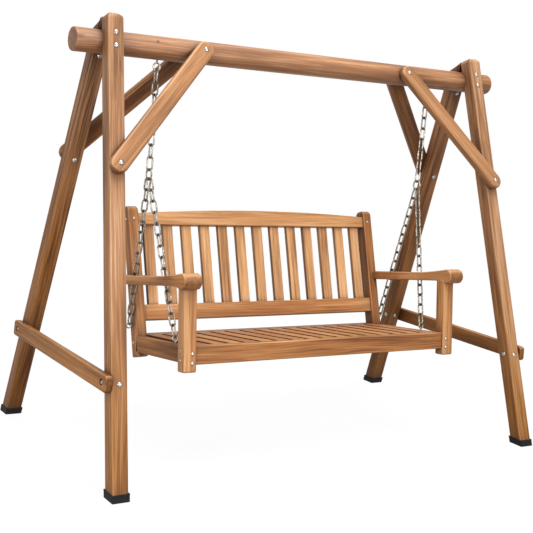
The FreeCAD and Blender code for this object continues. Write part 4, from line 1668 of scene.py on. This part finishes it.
@dataclass
class Bench:
    """The hanging bench: its frame, arms, seat and back."""

    shop: Workshop
    front_y: float = -355.0
    front_z: float = 491.0
    tilt: float = 7.6
    recline: float = 10.3
    front_post_x: float = 650.0
    front_post_width: float = 57.0
    front_post_depth: float = 52.0
    front_post_proud: float = 8.0
    front_post_drop: float = 100.0
    post_round: float = 7.0
    rear_post_x: float = 622.0
    rear_post_width: float = 48.0
    rear_post_depth: float = 60.0
    rear_post_setback: float = 454.0
    rear_post_drop: float = 90.0
    rear_post_rise: float = 545.0
    rear_post_roll: float = 24.0
    rail_height: float = 72.0
    rail_round: float = 4.5
    rail_tenon: float = 6.0
    front_rail_thickness: float = 44.0
    rear_rail_s: float = 462.0
    rear_rail_thickness: float = 54.0
    side_rail_inner: float = 616.0
    side_rail_outer: float = 646.0
    side_rail_step: float = 4.0
    side_rail_tenon: float = 4.0
    side_rail_round: float = 3.0
    arm_height: float = 228.0
    arm_slope: float = 2.2
    arm_inner: float = 623.0
    arm_width: float = 76.0
    arm_thickness: float = 38.0
    arm_round: float = 5.0
    arm_dip: float = 35.0
    arm_dip_s: float = 250.0
    arm_dip_steps: int = 17
    arm_nose_rise: float = 50.0
    arm_lip_drop: float = 12.0
    arm_lip_run: float = 66.0
    arm_lip_steps: int = 13
    arm_overhang: float = 40.0
    arm_rear: float = 550.0
    arm_hole_radius: float = 19.0
    slat_count: int = 16
    slat_gap: float = 20.0
    slat_thickness: float = 17.0
    slat_side_gap: float = 18.0
    slat_end_gap: float = 1.0
    slat_round: float = 2.5
    # Painted shade on the sides of the seat slats, in the gaps between them
    slat_dark_sides: float = 1.0
    batten_count: int = 3
    batten_width: float = 32.0
    batten_height: float = 20.0
    batten_round: float = 2.0
    back_rail_thickness: float = 44.0
    low_rail_start: float = 60.0
    low_rail_height: float = 66.0
    top_rail_start: float = 465.0
    top_rail_end: float = 50.0
    top_rail_crown: float = 70.0
    top_rail_round: float = 5.0
    top_rail_steps: int = 41
    back_slat_count: int = 13
    back_slat_width: float = 47.0
    back_slat_thickness: float = 20.0
    back_slat_end_gap: float = 27.0
    back_slat_tenon: float = 5.0
    # Painted shade on the sides of the back slats, in the gaps between them
    back_slat_dark_sides: float = 0.45
    front_bolt_inset: float = 6.0
    front_bolt_drop: float = 2.0

    @property
    def seat_frame(self) -> Matrix:
        """Where the seat lies: X across, Y to the rear along it, Z up from it."""
        return Matrix.Translation((0.0, self.front_y, self.front_z)) @ spin(-self.tilt, "X")

    @property
    def arm_frame(self) -> Matrix:
        """Where the arms lie: Y to the rear along them, Z up from their undersides."""
        return self.seat_frame @ Matrix.Translation((0.0, 0.0, self.arm_height)) @ spin(-self.arm_slope, "X")

    @property
    def back_frame(self) -> Matrix:
        """Where the back stands: X across, Y to the rear through it, Z up it."""
        setback = Matrix.Translation((0.0, self.rear_post_setback, 0.0))
        return self.seat_frame @ setback @ spin(-self.recline, "X")

    @property
    def rear_post_inner(self) -> float:
        """The inner face of the right rear post."""
        return self.rear_post_x - self.rear_post_width / 2

    @property
    def rear_post_outer(self) -> float:
        """The outer face of the right rear post."""
        return self.rear_post_x + self.rear_post_width / 2

    @property
    def front_post_inner(self) -> float:
        """The inner face of the right front post."""
        return self.front_post_x - self.front_post_width / 2

    @property
    def front_post_outer(self) -> float:
        """The outer face of the right front post."""
        return self.front_post_x + self.front_post_width / 2

    def dress(self, chain_runs: Sequence[Run]) -> None:
        """Builds every piece of the bench.

        Args:
            chain_runs: Start and end of the right-hand chains that pass through the arm.
        """
        for side in Side:
            self.posts(side)
            self.arm(side, chain_runs)
            self.side_rail(side)
        self.seat_rails()
        self.back_rails()
        self.back_slats()
        self.seat()
        self.bolts()

    def posts(self, side: Side) -> None:
        """Shapes a front post, and a rear post with a rolled top.

        Args:
            side: The posts' side.
        """
        rear_s = self.front_post_depth - self.front_post_proud
        top = self.arm_height + self.rail_tenon
        outline = rectangle((-self.front_post_proud, -self.front_post_drop), (rear_s, top))
        layer = (self.front_post_inner, self.front_post_outer)
        place = side.mirror @ self.seat_frame @ SIDEWAYS
        board = Board(outline, layer, place, Along.HEIGHT, self.post_round)
        self.shop.timber(f"front_post_{side.word}", board, "bench", "bench_timber")
        deep, roll = self.rear_post_depth, self.rear_post_roll
        low, high = -self.rear_post_drop, self.rear_post_rise
        corners = [(0.0, low, 0.0), (deep, low, 0.0), (deep, high, roll), (0.0, high, roll)]
        outline = rounded(corners, ROLL_STEPS)
        layer = (self.rear_post_inner, self.rear_post_outer)
        place = side.mirror @ self.back_frame @ SIDEWAYS
        board = Board(outline, layer, place, Along.HEIGHT, self.post_round)
        self.shop.timber(f"rear_post_{side.word}", board, "bench", "bench_timber")

    def arm_outline(self) -> list[Point]:
        """Draws the arm from the side: a round nose with a lip, a dip on top, and a plain rear end.

        Returns:
            The outline's points in order.
        """
        nose = (self.arm_nose_rise + self.arm_lip_drop) / 2
        nose_s = nose - self.front_post_proud - self.arm_overhang
        middle = self.arm_nose_rise - nose
        lip_end = nose_s + self.arm_lip_run
        points = [(self.arm_rear, 0.0)]
        for part in spread(self.arm_lip_steps, 0.0, 1.0):
            ease = part * part * (3.0 - 2.0 * part)
            points.append((lip_end + (nose_s - lip_end) * part, -self.arm_lip_drop * ease))
        for angle in spread(ARC_STEPS, 0.0, math.pi)[1:]:
            points.append((nose_s - nose * math.sin(angle), middle - nose * math.cos(angle)))
        rise = self.arm_nose_rise - self.arm_dip
        run = self.arm_dip_s - nose_s
        for s in spread(self.arm_dip_steps, nose_s, self.arm_dip_s)[1:]:
            points.append((s, self.arm_dip + rise * ((self.arm_dip_s - s) / run) ** 2))
        points.append((self.arm_rear, self.arm_thickness))
        return points[::-1]

    def arm(self, side: Side, chain_runs: Sequence[Run]) -> None:
        """Shapes an arm and bores it for the two chains.

        Args:
            side: The arm's side.
            chain_runs: Start and end of the right-hand chains that pass through the arm.
        """
        place = side.mirror @ self.arm_frame @ SIDEWAYS
        bores = [(side.mirror @ start, side.mirror @ end, self.arm_hole_radius) for start, end in chain_runs]
        layer = (self.arm_inner, self.arm_inner + self.arm_width)
        board = Board(self.arm_outline(), layer, place, Along.LENGTH, self.arm_round, bores=bores)
        self.shop.timber(f"arm_{side.word}", board, "bench", "bench_timber")

    def side_rail(self, side: Side) -> None:
        """Shapes a side rail between the posts, under the ends of the deck.

        Args:
            side: The rail's side.
        """
        start = self.front_post_depth - self.front_post_proud - self.side_rail_tenon
        outline = rectangle((start, -self.rail_height), (self.rear_rail_s, -self.side_rail_step))
        place = side.mirror @ self.seat_frame @ SIDEWAYS
        layer = (self.side_rail_inner, self.side_rail_outer)
        board = Board(outline, layer, place, Along.LENGTH, self.side_rail_round)
        self.shop.timber(f"side_rail_{side.word}", board, "bench", "bench_timber")

    def seat_rails(self) -> None:
        """Shapes the seat's front and rear rails."""
        rails = ((End.FRONT, 0.0, self.front_rail_thickness, self.front_post_inner),
                 (End.REAR, self.rear_rail_s, self.rear_rail_thickness, self.rear_post_inner))
        for end, start, thickness, post in rails:
            outline = rectangle((start, -self.rail_height), (start + thickness, 0.0))
            half = post + self.rail_tenon
            board = Board(outline, (-half, half), self.seat_frame @ SIDEWAYS, Along.DEPTH, self.rail_round)
            self.shop.timber(f"{end.word}_rail", board, "bench", "bench_timber")

    def back_rails(self) -> None:
        """Shapes the back's low rail and its arched top rail."""
        half = self.rear_post_inner + self.rail_tenon
        front = (self.rear_post_depth - self.back_rail_thickness) / 2
        layer = (-front - self.back_rail_thickness, -front)
        place = self.back_frame @ FACING
        outline = rectangle((-half, self.low_rail_start), (half, self.low_rail_start + self.low_rail_height))
        board = Board(outline, layer, place, Along.LENGTH, self.rail_round)
        self.shop.timber("back_low_rail", board, "bench", "bench_timber")
        base = self.top_rail_start
        crown = self.top_rail_crown - self.top_rail_end
        outline = [(-half, base), (half, base)]
        for x in spread(self.top_rail_steps, half, -half):
            outline.append((x, base + self.top_rail_end + crown * (1.0 - (x / half) ** 2)))
        board = Board(outline, layer, place, Along.LENGTH, self.top_rail_round)
        self.shop.timber("back_top_rail", board, "bench", "bench_timber")

    def back_slats(self) -> None:
        """Repeats the upright slats between the rails of the back."""
        front = (self.rear_post_depth - self.back_slat_thickness) / 2
        half = self.back_slat_width / 2
        edge = self.rear_post_inner - self.back_slat_end_gap - half
        low = self.low_rail_start + self.low_rail_height - self.back_slat_tenon
        high = self.top_rail_start + self.back_slat_tenon
        outline = rectangle((-edge - half, low), (-edge + half, high))
        layer = (-front - self.back_slat_thickness, -front)
        board = Board(outline, layer, self.back_frame @ FACING, Along.HEIGHT, self.slat_round,
                      dark_sides=self.back_slat_dark_sides)
        step = RIGHT * (2.0 * edge / (self.back_slat_count - 1))
        mesh = self.shop.slat_row(board, self.back_slat_count, step, "back_slat_timber")
        nodes = [f"back_slat_{index:02d}" for index in range(1, self.back_slat_count + 1)]
        self.shop.keep("back_slats", mesh, "bench", "back_slat_timber", *nodes)

    def seat(self) -> None:
        """Repeats the seat slats, the battens under them and the screws in the battens."""
        room = 2.0 * (self.side_rail_inner - self.slat_side_gap)
        width = (room - (self.slat_count - 1) * self.slat_gap) / self.slat_count
        left = -room / 2
        start, rear = self.front_rail_thickness, self.rear_rail_s
        outline = rectangle((left, start + self.slat_end_gap), (left + width, rear - self.slat_end_gap))
        board = Board(outline, (-self.slat_thickness, 0.0), self.seat_frame, Along.HEIGHT, self.slat_round,
                      dark_sides=self.slat_dark_sides)
        mesh = self.shop.slat_row(board, self.slat_count, RIGHT * (width + self.slat_gap), "seat_timber")
        self.shop.keep("seat_slat_row", mesh, "bench", "seat_timber", "seat_slats")
        last = rear - self.batten_width
        outline = rectangle((-self.side_rail_inner, start), (self.side_rail_inner, start + self.batten_width))
        low = -self.slat_thickness - self.batten_height
        layer = (low, -self.slat_thickness)
        board = Board(outline, layer, self.seat_frame, Along.LENGTH, self.batten_round)
        step = REARWARD * ((last - start) / (self.batten_count - 1))
        mesh = self.shop.slat_row(board, self.batten_count, step, "seat_timber")
        self.shop.keep("seat_batten_row", mesh, "bench", "seat_timber", "seat_battens")
        down = self.seat_frame.to_3x3() @ -UP
        screws: list[Bolt] = []
        for edge in (start, last):
            for x in spread(self.slat_count, left + width / 2, -left - width / 2):
                screws.append((self.seat_frame @ Vector((x, edge + self.batten_width / 2, low)), down))
        shapes = self.shop.fasteners
        head = shapes.turned("screw_template", shapes.screw_profile, shapes.screw_sides)
        self.shop.heads_on("slat_screw_heads", head, screws, "bench", "seat_slat_screws")

    def bolts(self) -> None:
        """Sets the domed heads at the joints of the bench frame."""
        seat, back = self.seat_frame, self.back_frame
        forward = seat.to_3x3() @ -REARWARD
        front_x = self.rear_post_outer - self.front_bolt_inset
        quarter = self.rail_height / 4
        bolts: list[Bolt] = []
        for up in (-quarter, -3.0 * quarter):
            lower = up - quarter / 2 - self.front_bolt_drop
            bolts.append((seat @ Vector((self.front_post_outer, self.front_rail_thickness / 2, up)), RIGHT))
            bolts.append((seat @ Vector((front_x, -self.front_post_proud, lower)), forward))
        middle = self.rear_post_depth / 2
        top_rail = self.top_rail_start + self.top_rail_end / 2
        for up in (self.low_rail_start + self.low_rail_height / 2, top_rail):
            bolts.append((back @ Vector((self.rear_post_outer, middle, up)), RIGHT))
        behind = self.rear_rail_s + self.rear_rail_thickness / 2
        bolts.append((seat @ Vector((self.rear_post_outer, behind, -self.rail_height / 2)), RIGHT))
        bolts.append((back @ Vector((self.rear_post_x, 0.0, top_rail)), back.to_3x3() @ -REARWARD))
        shapes = self.shop.fasteners
        scale = shapes.bench_bolt_scale
        profile = [(radius * scale, height * scale) for radius, height in shapes.bolt_profile]
        head = shapes.turned("head_template", profile, shapes.bench_bolt_sides)
        self.shop.heads_on("domed_bench_bolts", head, both(bolts), "bench", "bench_bolts")


@dataclass
class Chains:
    """The screw eyes, rings and chains that carry the bench."""

    shop: Workshop
    wire_sides: int = 14
    eye_x: float = 692.0
    eye_stub: float = 8.0
    eye_radius: float = 14.0
    eye_wire: float = 7.0
    eye_neck: float = 1.5
    loop_turn: Point = (84.0, -256.0)
    loop_steps: int = 45
    shank_diameter: float = 8.0
    shank_sunk: float = 6.0
    shank_steps: int = 46
    thread_pitch: float = 2.0
    thread_height: float = 0.32
    thread_depth: float = 0.3
    ring_height: float = 1105.0
    ring_radius: float = 22.0
    ring_wire: float = 7.0
    ring_steps: int = 48
    ring_weld: float = 1.07
    ring_weld_at: tuple[int, int] = (13, 14)
    link_pitch: float = 47.0
    link_width: float = 30.0
    link_wire: float = 7.0
    link_gap: float = 0.3
    link_sides: int = 9
    link_bend_steps: int = 8
    link_straight: float = 0.3
    link_weld: float = 1.06
    link_askew: float = 1.2
    bench_eye_radius: float = 11.0
    bench_eye_wire: float = 6.0
    bench_eye_stub: float = 5.0
    front_eye_setback: float = 150.0
    rear_eye_up: float = 43.0

    def eye_centre(self, stand: Stand) -> Vector:
        """The middle of the right-hand eye under the beam."""
        drop = stand.beam_radius + self.eye_stub + self.eye_wire / 2 + self.eye_radius
        return Vector((self.eye_x, 0.0, stand.beam_height - drop))

    @property
    def ring_centre(self) -> Vector:
        """The middle of the right-hand ring where the chain parts into two."""
        return Vector((self.eye_x, 0.0, self.ring_height))

    def bench_eyes(self, bench: Bench) -> list[tuple[End, Vector, Vector]]:
        """Finds the right-hand eyes on the bench.

        Args:
            bench: The bench.

        Returns:
            For each eye its end, its middle, and the way its shank points.
        """
        rise = self.bench_eye_stub + self.bench_eye_wire / 2 + self.bench_eye_radius
        rail_x = (bench.side_rail_inner + bench.side_rail_outer) / 2
        front = bench.seat_frame @ Vector((rail_x, self.front_eye_setback, rise - bench.side_rail_step))
        outside = Vector((bench.rear_post_outer + rise, bench.rear_post_depth / 2, self.rear_eye_up))
        down = bench.seat_frame.to_3x3() @ -UP
        return [(End.FRONT, front, down), (End.REAR, bench.back_frame @ outside, -RIGHT)]

    def hooked(self, start: Vector, start_wire: float, end: Vector, end_wire: float) -> Run:
        """Finds the outermost bends of a chain that hooks over two wires.

        Args:
            start: Middle of the first wire.
            start_wire: Its thickness.
            end: Middle of the last wire.
            end_wire: Its thickness.

        Returns:
            The chain's first and last bend.
        """
        along = (end - start).normalized()
        first = start - along * ((start_wire + self.link_wire) / 2 + self.link_gap)
        return first, end + along * ((end_wire + self.link_wire) / 2 + self.link_gap)

    def lower_hooks(self, bench: Bench) -> list[tuple[Vector, Vector]]:
        """Finds where the two right-hand lower chains hang on the ring.

        Args:
            bench: The bench.

        Returns:
            For each chain its place on the ring, and the way that it runs.
        """
        hooks = []
        for _, centre, _ in self.bench_eyes(bench):
            towards = centre - self.ring_centre
            towards.x = 0.0
            hook = self.ring_centre + towards.normalized() * self.ring_radius
            hooks.append((hook, (centre - hook).normalized()))
        return hooks

    def lower_runs(self, bench: Bench) -> list[Run]:
        """Finds the two right-hand chains from the ring to the bench.

        Args:
            bench: The bench.

        Returns:
            Each chain's first and last bend.
        """
        runs = []
        for (_, centre, _), (hook, along) in zip(self.bench_eyes(bench), self.lower_hooks(bench)):
            end = centre - along * self.bench_eye_radius
            runs.append(self.hooked(hook, self.ring_wire, end, self.bench_eye_wire))
        return runs

    def dress(self, stand: Stand, bench: Bench) -> None:
        """Builds every eye, ring and chain.

        Args:
            stand: The stand that carries the chains.
            bench: The bench that hangs on them.
        """
        eye = self.eye_centre(stand)
        top = self.ring_centre + UP * self.ring_radius
        upper = self.hooked(eye - UP * self.eye_radius, self.eye_wire, top, self.ring_wire)
        for side in Side:
            flip = side.mirror
            place = flip @ Matrix.Translation(eye)
            mesh = self.screw_eye("beam_eye", place, self.eye_radius, self.eye_wire, self.eye_stub)
            node = f"beam_eye_{side.word}"
            self.shop.keep("steel_" + node, mesh, "stand", "chain_steel", node)
            self.ring(side)
            self.chain(f"upper_chain_{side.word}", flip @ upper[0], flip @ upper[1], REARWARD, "hangers")
            for (end, _, _), (first, last) in zip(self.bench_eyes(bench), self.lower_runs(bench)):
                name = f"{end.word}_lower_chain_{side.word}"
                self.chain(name, flip @ first, flip @ last, RIGHT, "bench")
        for (end, centre, shank), (_, along) in zip(self.bench_eyes(bench), self.lower_hooks(bench)):
            self.bench_eye_pair(end, centre, shank, along)

    def screw_eye(self, name: str, place: Matrix, radius: float, wire: float, stub: float) -> Mesh:
        """Bends a screw eye: a threaded shank up Z, and a loop that almost closes.

        Args:
            name: The mesh's name.
            place: Frame of the loop's middle, with the shank along its Z.
            radius: Radius of the loop's centre line.
            wire: Thickness of the wire.
            stub: Length of the shank that shows.

        Returns:
            The eye's mesh.
        """
        top = radius + wire / 2 + stub + self.shank_sunk
        path = [UP * z for z in spread(self.shank_steps, top, radius + self.eye_neck)]
        sizes = []
        for point in path:
            groove = self.thread_height * math.sin(2.0 * math.pi * point.z / self.thread_pitch)
            sizes.append(self.shank_diameter / 2 + groove - self.thread_depth)
        for angle in spread(self.loop_steps, *(math.radians(turn) for turn in self.loop_turn)):
            path.append(Vector((radius * math.cos(angle), 0.0, radius * math.sin(angle))))
            sizes.append(wire / 2)
        body = bmesh.new()
        tube(body, path, lambda index: sizes[index], self.wire_sides, False)
        return finished(body, name, place)

    def bench_eye_pair(self, end: End, centre: Vector, shank: Vector, along: Vector) -> None:
        """Bends the left and right eyes at one end of the bench.

        Args:
            end: The end of the bench.
            centre: Middle of the right-hand eye.
            shank: The way that its shank points.
            along: The way that its chain runs.
        """
        axis = along.cross(RIGHT - along * along.x).normalized()
        axis = (axis - shank * axis.dot(shank)).normalized()
        place = frame_matrix(centre, axis.cross(shank), axis, shank)
        sizes = (self.bench_eye_radius, self.bench_eye_wire, self.bench_eye_stub)
        body = bmesh.new()
        for side in Side:
            body.from_mesh(self.screw_eye("bench_eye", side.mirror @ place, *sizes))
        node = f"{end.word}_bench_eyes"
        mesh = finished(body, "steel_" + node, Matrix.Scale(1.0 / MM, 4))
        self.shop.keep("steel_" + node, mesh, "bench", "chain_steel", node)

    def ring(self, side: Side) -> None:
        """Bends the welded ring where a chain parts into two.

        Args:
            side: The ring's side.
        """
        path = []
        for angle in round_angles(self.ring_steps):
            path.append(Vector((0.0, self.ring_radius * math.cos(angle), self.ring_radius * math.sin(angle))))
        half = self.ring_wire / 2
        body = bmesh.new()
        tube(body, path, lambda index: half * (self.ring_weld if index in self.ring_weld_at else 1.0),
             self.wire_sides, True)
        node = f"junction_ring_{side.word}"
        mesh = finished(body, "steel_" + node, side.mirror @ Matrix.Translation(self.ring_centre))
        self.shop.keep("steel_" + node, mesh, "hangers", "chain_steel", node)

    def link(self, length: float) -> Thing:
        """Bends one welded link along Z, in metres at the origin.

        Args:
            length: Distance between the centre lines of its two bends' outermost points.

        Returns:
            The link's template.
        """
        bend = (self.link_width - self.link_wire) / 2
        straight = length / 2 - bend
        path = []
        for way in (1.0, -1.0):
            for angle in spread(self.link_bend_steps, 0.0, math.pi):
                path.append(Vector((bend * math.cos(angle), 0.0, straight + bend * math.sin(angle))) * way)
            for z in (self.link_straight * straight, -self.link_straight * straight):
                path.append(Vector((-bend, 0.0, z)) * way)
        half = self.link_wire / 2
        weld = (self.link_bend_steps, self.link_bend_steps + 1)
        body = bmesh.new()
        tube(body, path, lambda index: half * (self.link_weld if index in weld else 1.0),
             self.link_sides, True)
        mesh = finished(body, "link_template")
        inner = length / 2 - self.link_wire
        # Darkens the inner bends where links meet: grime and painted shade
        mark_grime(mesh, lambda point: (abs(point.z) - inner + self.link_wire) / self.link_wire)
        return new_object("link_template", mesh)

    def chain(self, node: str, first: Vector, last: Vector, side: Vector, body: str) -> None:
        """Hangs links between two points and enters them as one piece.

        Args:
            node: The node that the chain stands for.
            first: The first link's outer bend.
            last: The last link's outer bend.
            side: The way that the first link is wide.
            body: The body that the chain moves with.
        """
        along = (last - first).normalized()
        overlap = self.link_wire + self.link_gap
        run = (last - first).length - overlap
        count = 2 * max(1, round(run / self.link_pitch / 2))
        pitch = run / count
        across = (side - along * side.dot(along)).normalized()
        start = (pitch + overlap) / 2
        values = {"Count": count, "Start": (0.0, 0.0, start * MM), "Step": (0.0, 0.0, pitch * MM),
                  "Askew": math.radians(self.link_askew), "Seed": self.shop.next_seed(),
                  "Finish": self.shop.finishes["chain_steel"]}
        mesh = self.shop.chains.run(self.link(pitch + overlap), values)
        mesh.transform(frame_matrix(first * MM, across, along.cross(across), along))
        self.shop.keep("steel_" + node, mesh, body, "chain_steel", node)


@dataclass(frozen=True)
class Lamp:
    """A square soft light: its place and side in metres, its power in watts, and whether gloss shows it."""

    name: str
    place: Triple
    size: float
    power: float
    mirrored: bool = True

    def hang(self, aim: Vector) -> None:
        """Hangs the light so that it looks at a point.

        Args:
            aim: The point.
        """
        light = bpy.data.lights.new(self.name, "AREA")
        light.shape = "SQUARE"
        light.size = self.size
        light.energy = self.power
        holder = new_object(self.name, light)
        holder.location = self.place
        holder.visible_camera = False
        holder.visible_glossy = self.mirrored
        holder.rotation_euler = (aim - Vector(self.place)).to_track_quat("-Z", "Y").to_euler()


@dataclass
class Studio:
    """The pale floor, the soft light and the camera."""

    lamps: tuple[Lamp, ...] = (
        Lamp("overhead_light", (-0.4, -1.8, 6.6), 3.6, 440.0),
        Lamp("left_light", (-3.1, -1.3, 1.2), 1.4, 56.0),
        Lamp("right_light", (4.2, 0.6, 2.2), 2.6, 130.0, mirrored=False),
        Lamp("front_light", (0.3, -5.6, 1.9), 3.0, 205.0),
        Lamp("back_light", (0.5, 4.6, 3.0), 3.0, 120.0, mirrored=False),
    )
    lamp_aim: Triple = (0.0, 0.0, 0.8)
    floor_reach: float = 14.0
    floor_cells: int = 12
    floor_noise: Triple = (3.0, 3.0, 3.0)
    floor_limits: Point = (0.3, 0.7)
    floor_pale: tuple[Triple, Triple] = ((232, 232, 232), (238, 238, 238))
    floor_bounce: Triple = (96, 84, 70)
    floor_roughness: float = 0.9
    shadow_run: Point = (1.6, 4.0)
    shadow_glow: Point = (0.94, 1.0)
    sky: float = 0.16
    sky_tint: tuple[float, float, float, float] = (1.0, 0.86, 0.7, 1.0)
    camera_place: Triple = (-2.640, -3.842, 1.438)
    yaw: float = 0.5842
    pitch: float = -0.1525
    roll: float = 0.0891
    focal_pixels: float = 1085.6
    sensor: float = 36.0
    sight: float = 60.0

    def build(self) -> None:
        """Sets up everything around the object."""
        bpy.context.scene.view_settings.view_transform = "Standard"
        self.floor()
        self.world()
        for lamp in self.lamps:
            lamp.hang(Vector(self.lamp_aim))
        self.camera()

    def floor(self) -> None:
        """Lays a wide floor that shows almost white and keeps the object's shadow."""
        body = bmesh.new()
        cells = self.floor_cells
        bmesh.ops.create_grid(body, x_segments=cells, y_segments=cells, size=self.floor_reach)
        floor = new_object("studio_floor", to_mesh(body, "studio_floor"))
        sheet = ShaderSheet(bpy.data.materials.new("studio_floor"))
        place = sheet.place()
        seen = sheet.seen()
        tones = list(zip(self.floor_limits, self.floor_pale))
        pale = sheet.ramp(sheet.noise(place, self.floor_noise, detail=3.0), tones)
        colour = sheet.mix(seen, linear(self.floor_bounce), pale)
        sheet.shade({"Base Color": colour, "Roughness": self.floor_roughness})
        glow = sheet.node("ShaderNodeEmission", {"Strength": 1.0})
        away = sheet.vector("LENGTH", sheet.vector("MULTIPLY", place, (1.0, 1.0, 0.0)))
        glowing = sheet.rescaled(away, self.shadow_run, self.shadow_glow, Curve.SOFT)
        feeds = {0: sheet.math("MULTIPLY", seen, glowing), 1: sheet.shader.outputs[0], 2: glow.outputs[0]}
        blend = sheet.node("ShaderNodeMixShader", feeds)
        sheet.put(sheet.tree.nodes["Material Output"].inputs["Surface"], blend.outputs[0])
        floor.data.materials.append(sheet.owner)

    def world(self) -> None:
        """Makes the surroundings white to look at and softer as a light."""
        world = bpy.data.worlds.new("studio_white")
        bpy.context.scene.world = world
        sheet = ShaderSheet(world, "Background")
        seen = sheet.seen()
        sheet.shade({"Strength": sheet.rescaled(seen, (0.0, 1.0), (self.sky, 1.0)),
                     "Color": sheet.mix(seen, self.sky_tint, linear(WHITE))})

    def camera(self) -> None:
        """Stands the camera where the photograph was taken from."""
        lens = bpy.data.cameras.new("studio_camera")
        lens.sensor_width = self.sensor
        lens.sensor_fit = "HORIZONTAL"
        lens.lens = self.focal_pixels / IMAGE_SIZE * self.sensor
        lens.clip_end = self.sight
        level = math.cos(self.pitch)
        ahead = Vector((math.sin(self.yaw) * level, math.cos(self.yaw) * level, math.sin(self.pitch)))
        right = Vector((math.cos(self.yaw), -math.sin(self.yaw), 0.0))
        top = right.cross(ahead)
        across = right * math.cos(self.roll) + top * math.sin(self.roll)
        upright = top * math.cos(self.roll) - right * math.sin(self.roll)
        holder = new_object("studio_camera", lens)
        holder.matrix_world = frame_matrix(Vector(self.camera_place), across, upright, -ahead)
        bpy.context.scene.camera = holder


def main() -> None:
    """Builds the stand, the bench, the chains and the studio."""
    logging.basicConfig(level=logging.INFO, format="%(message)s")
    shop = Workshop()
    stand = Stand(shop)
    bench = Bench(shop)
    chains = Chains(shop)
    stand.dress()
    bench.dress(chains.lower_runs(bench))
    chains.dress(stand, bench)
    Studio().build()


if __name__ == "__main__":
    main()
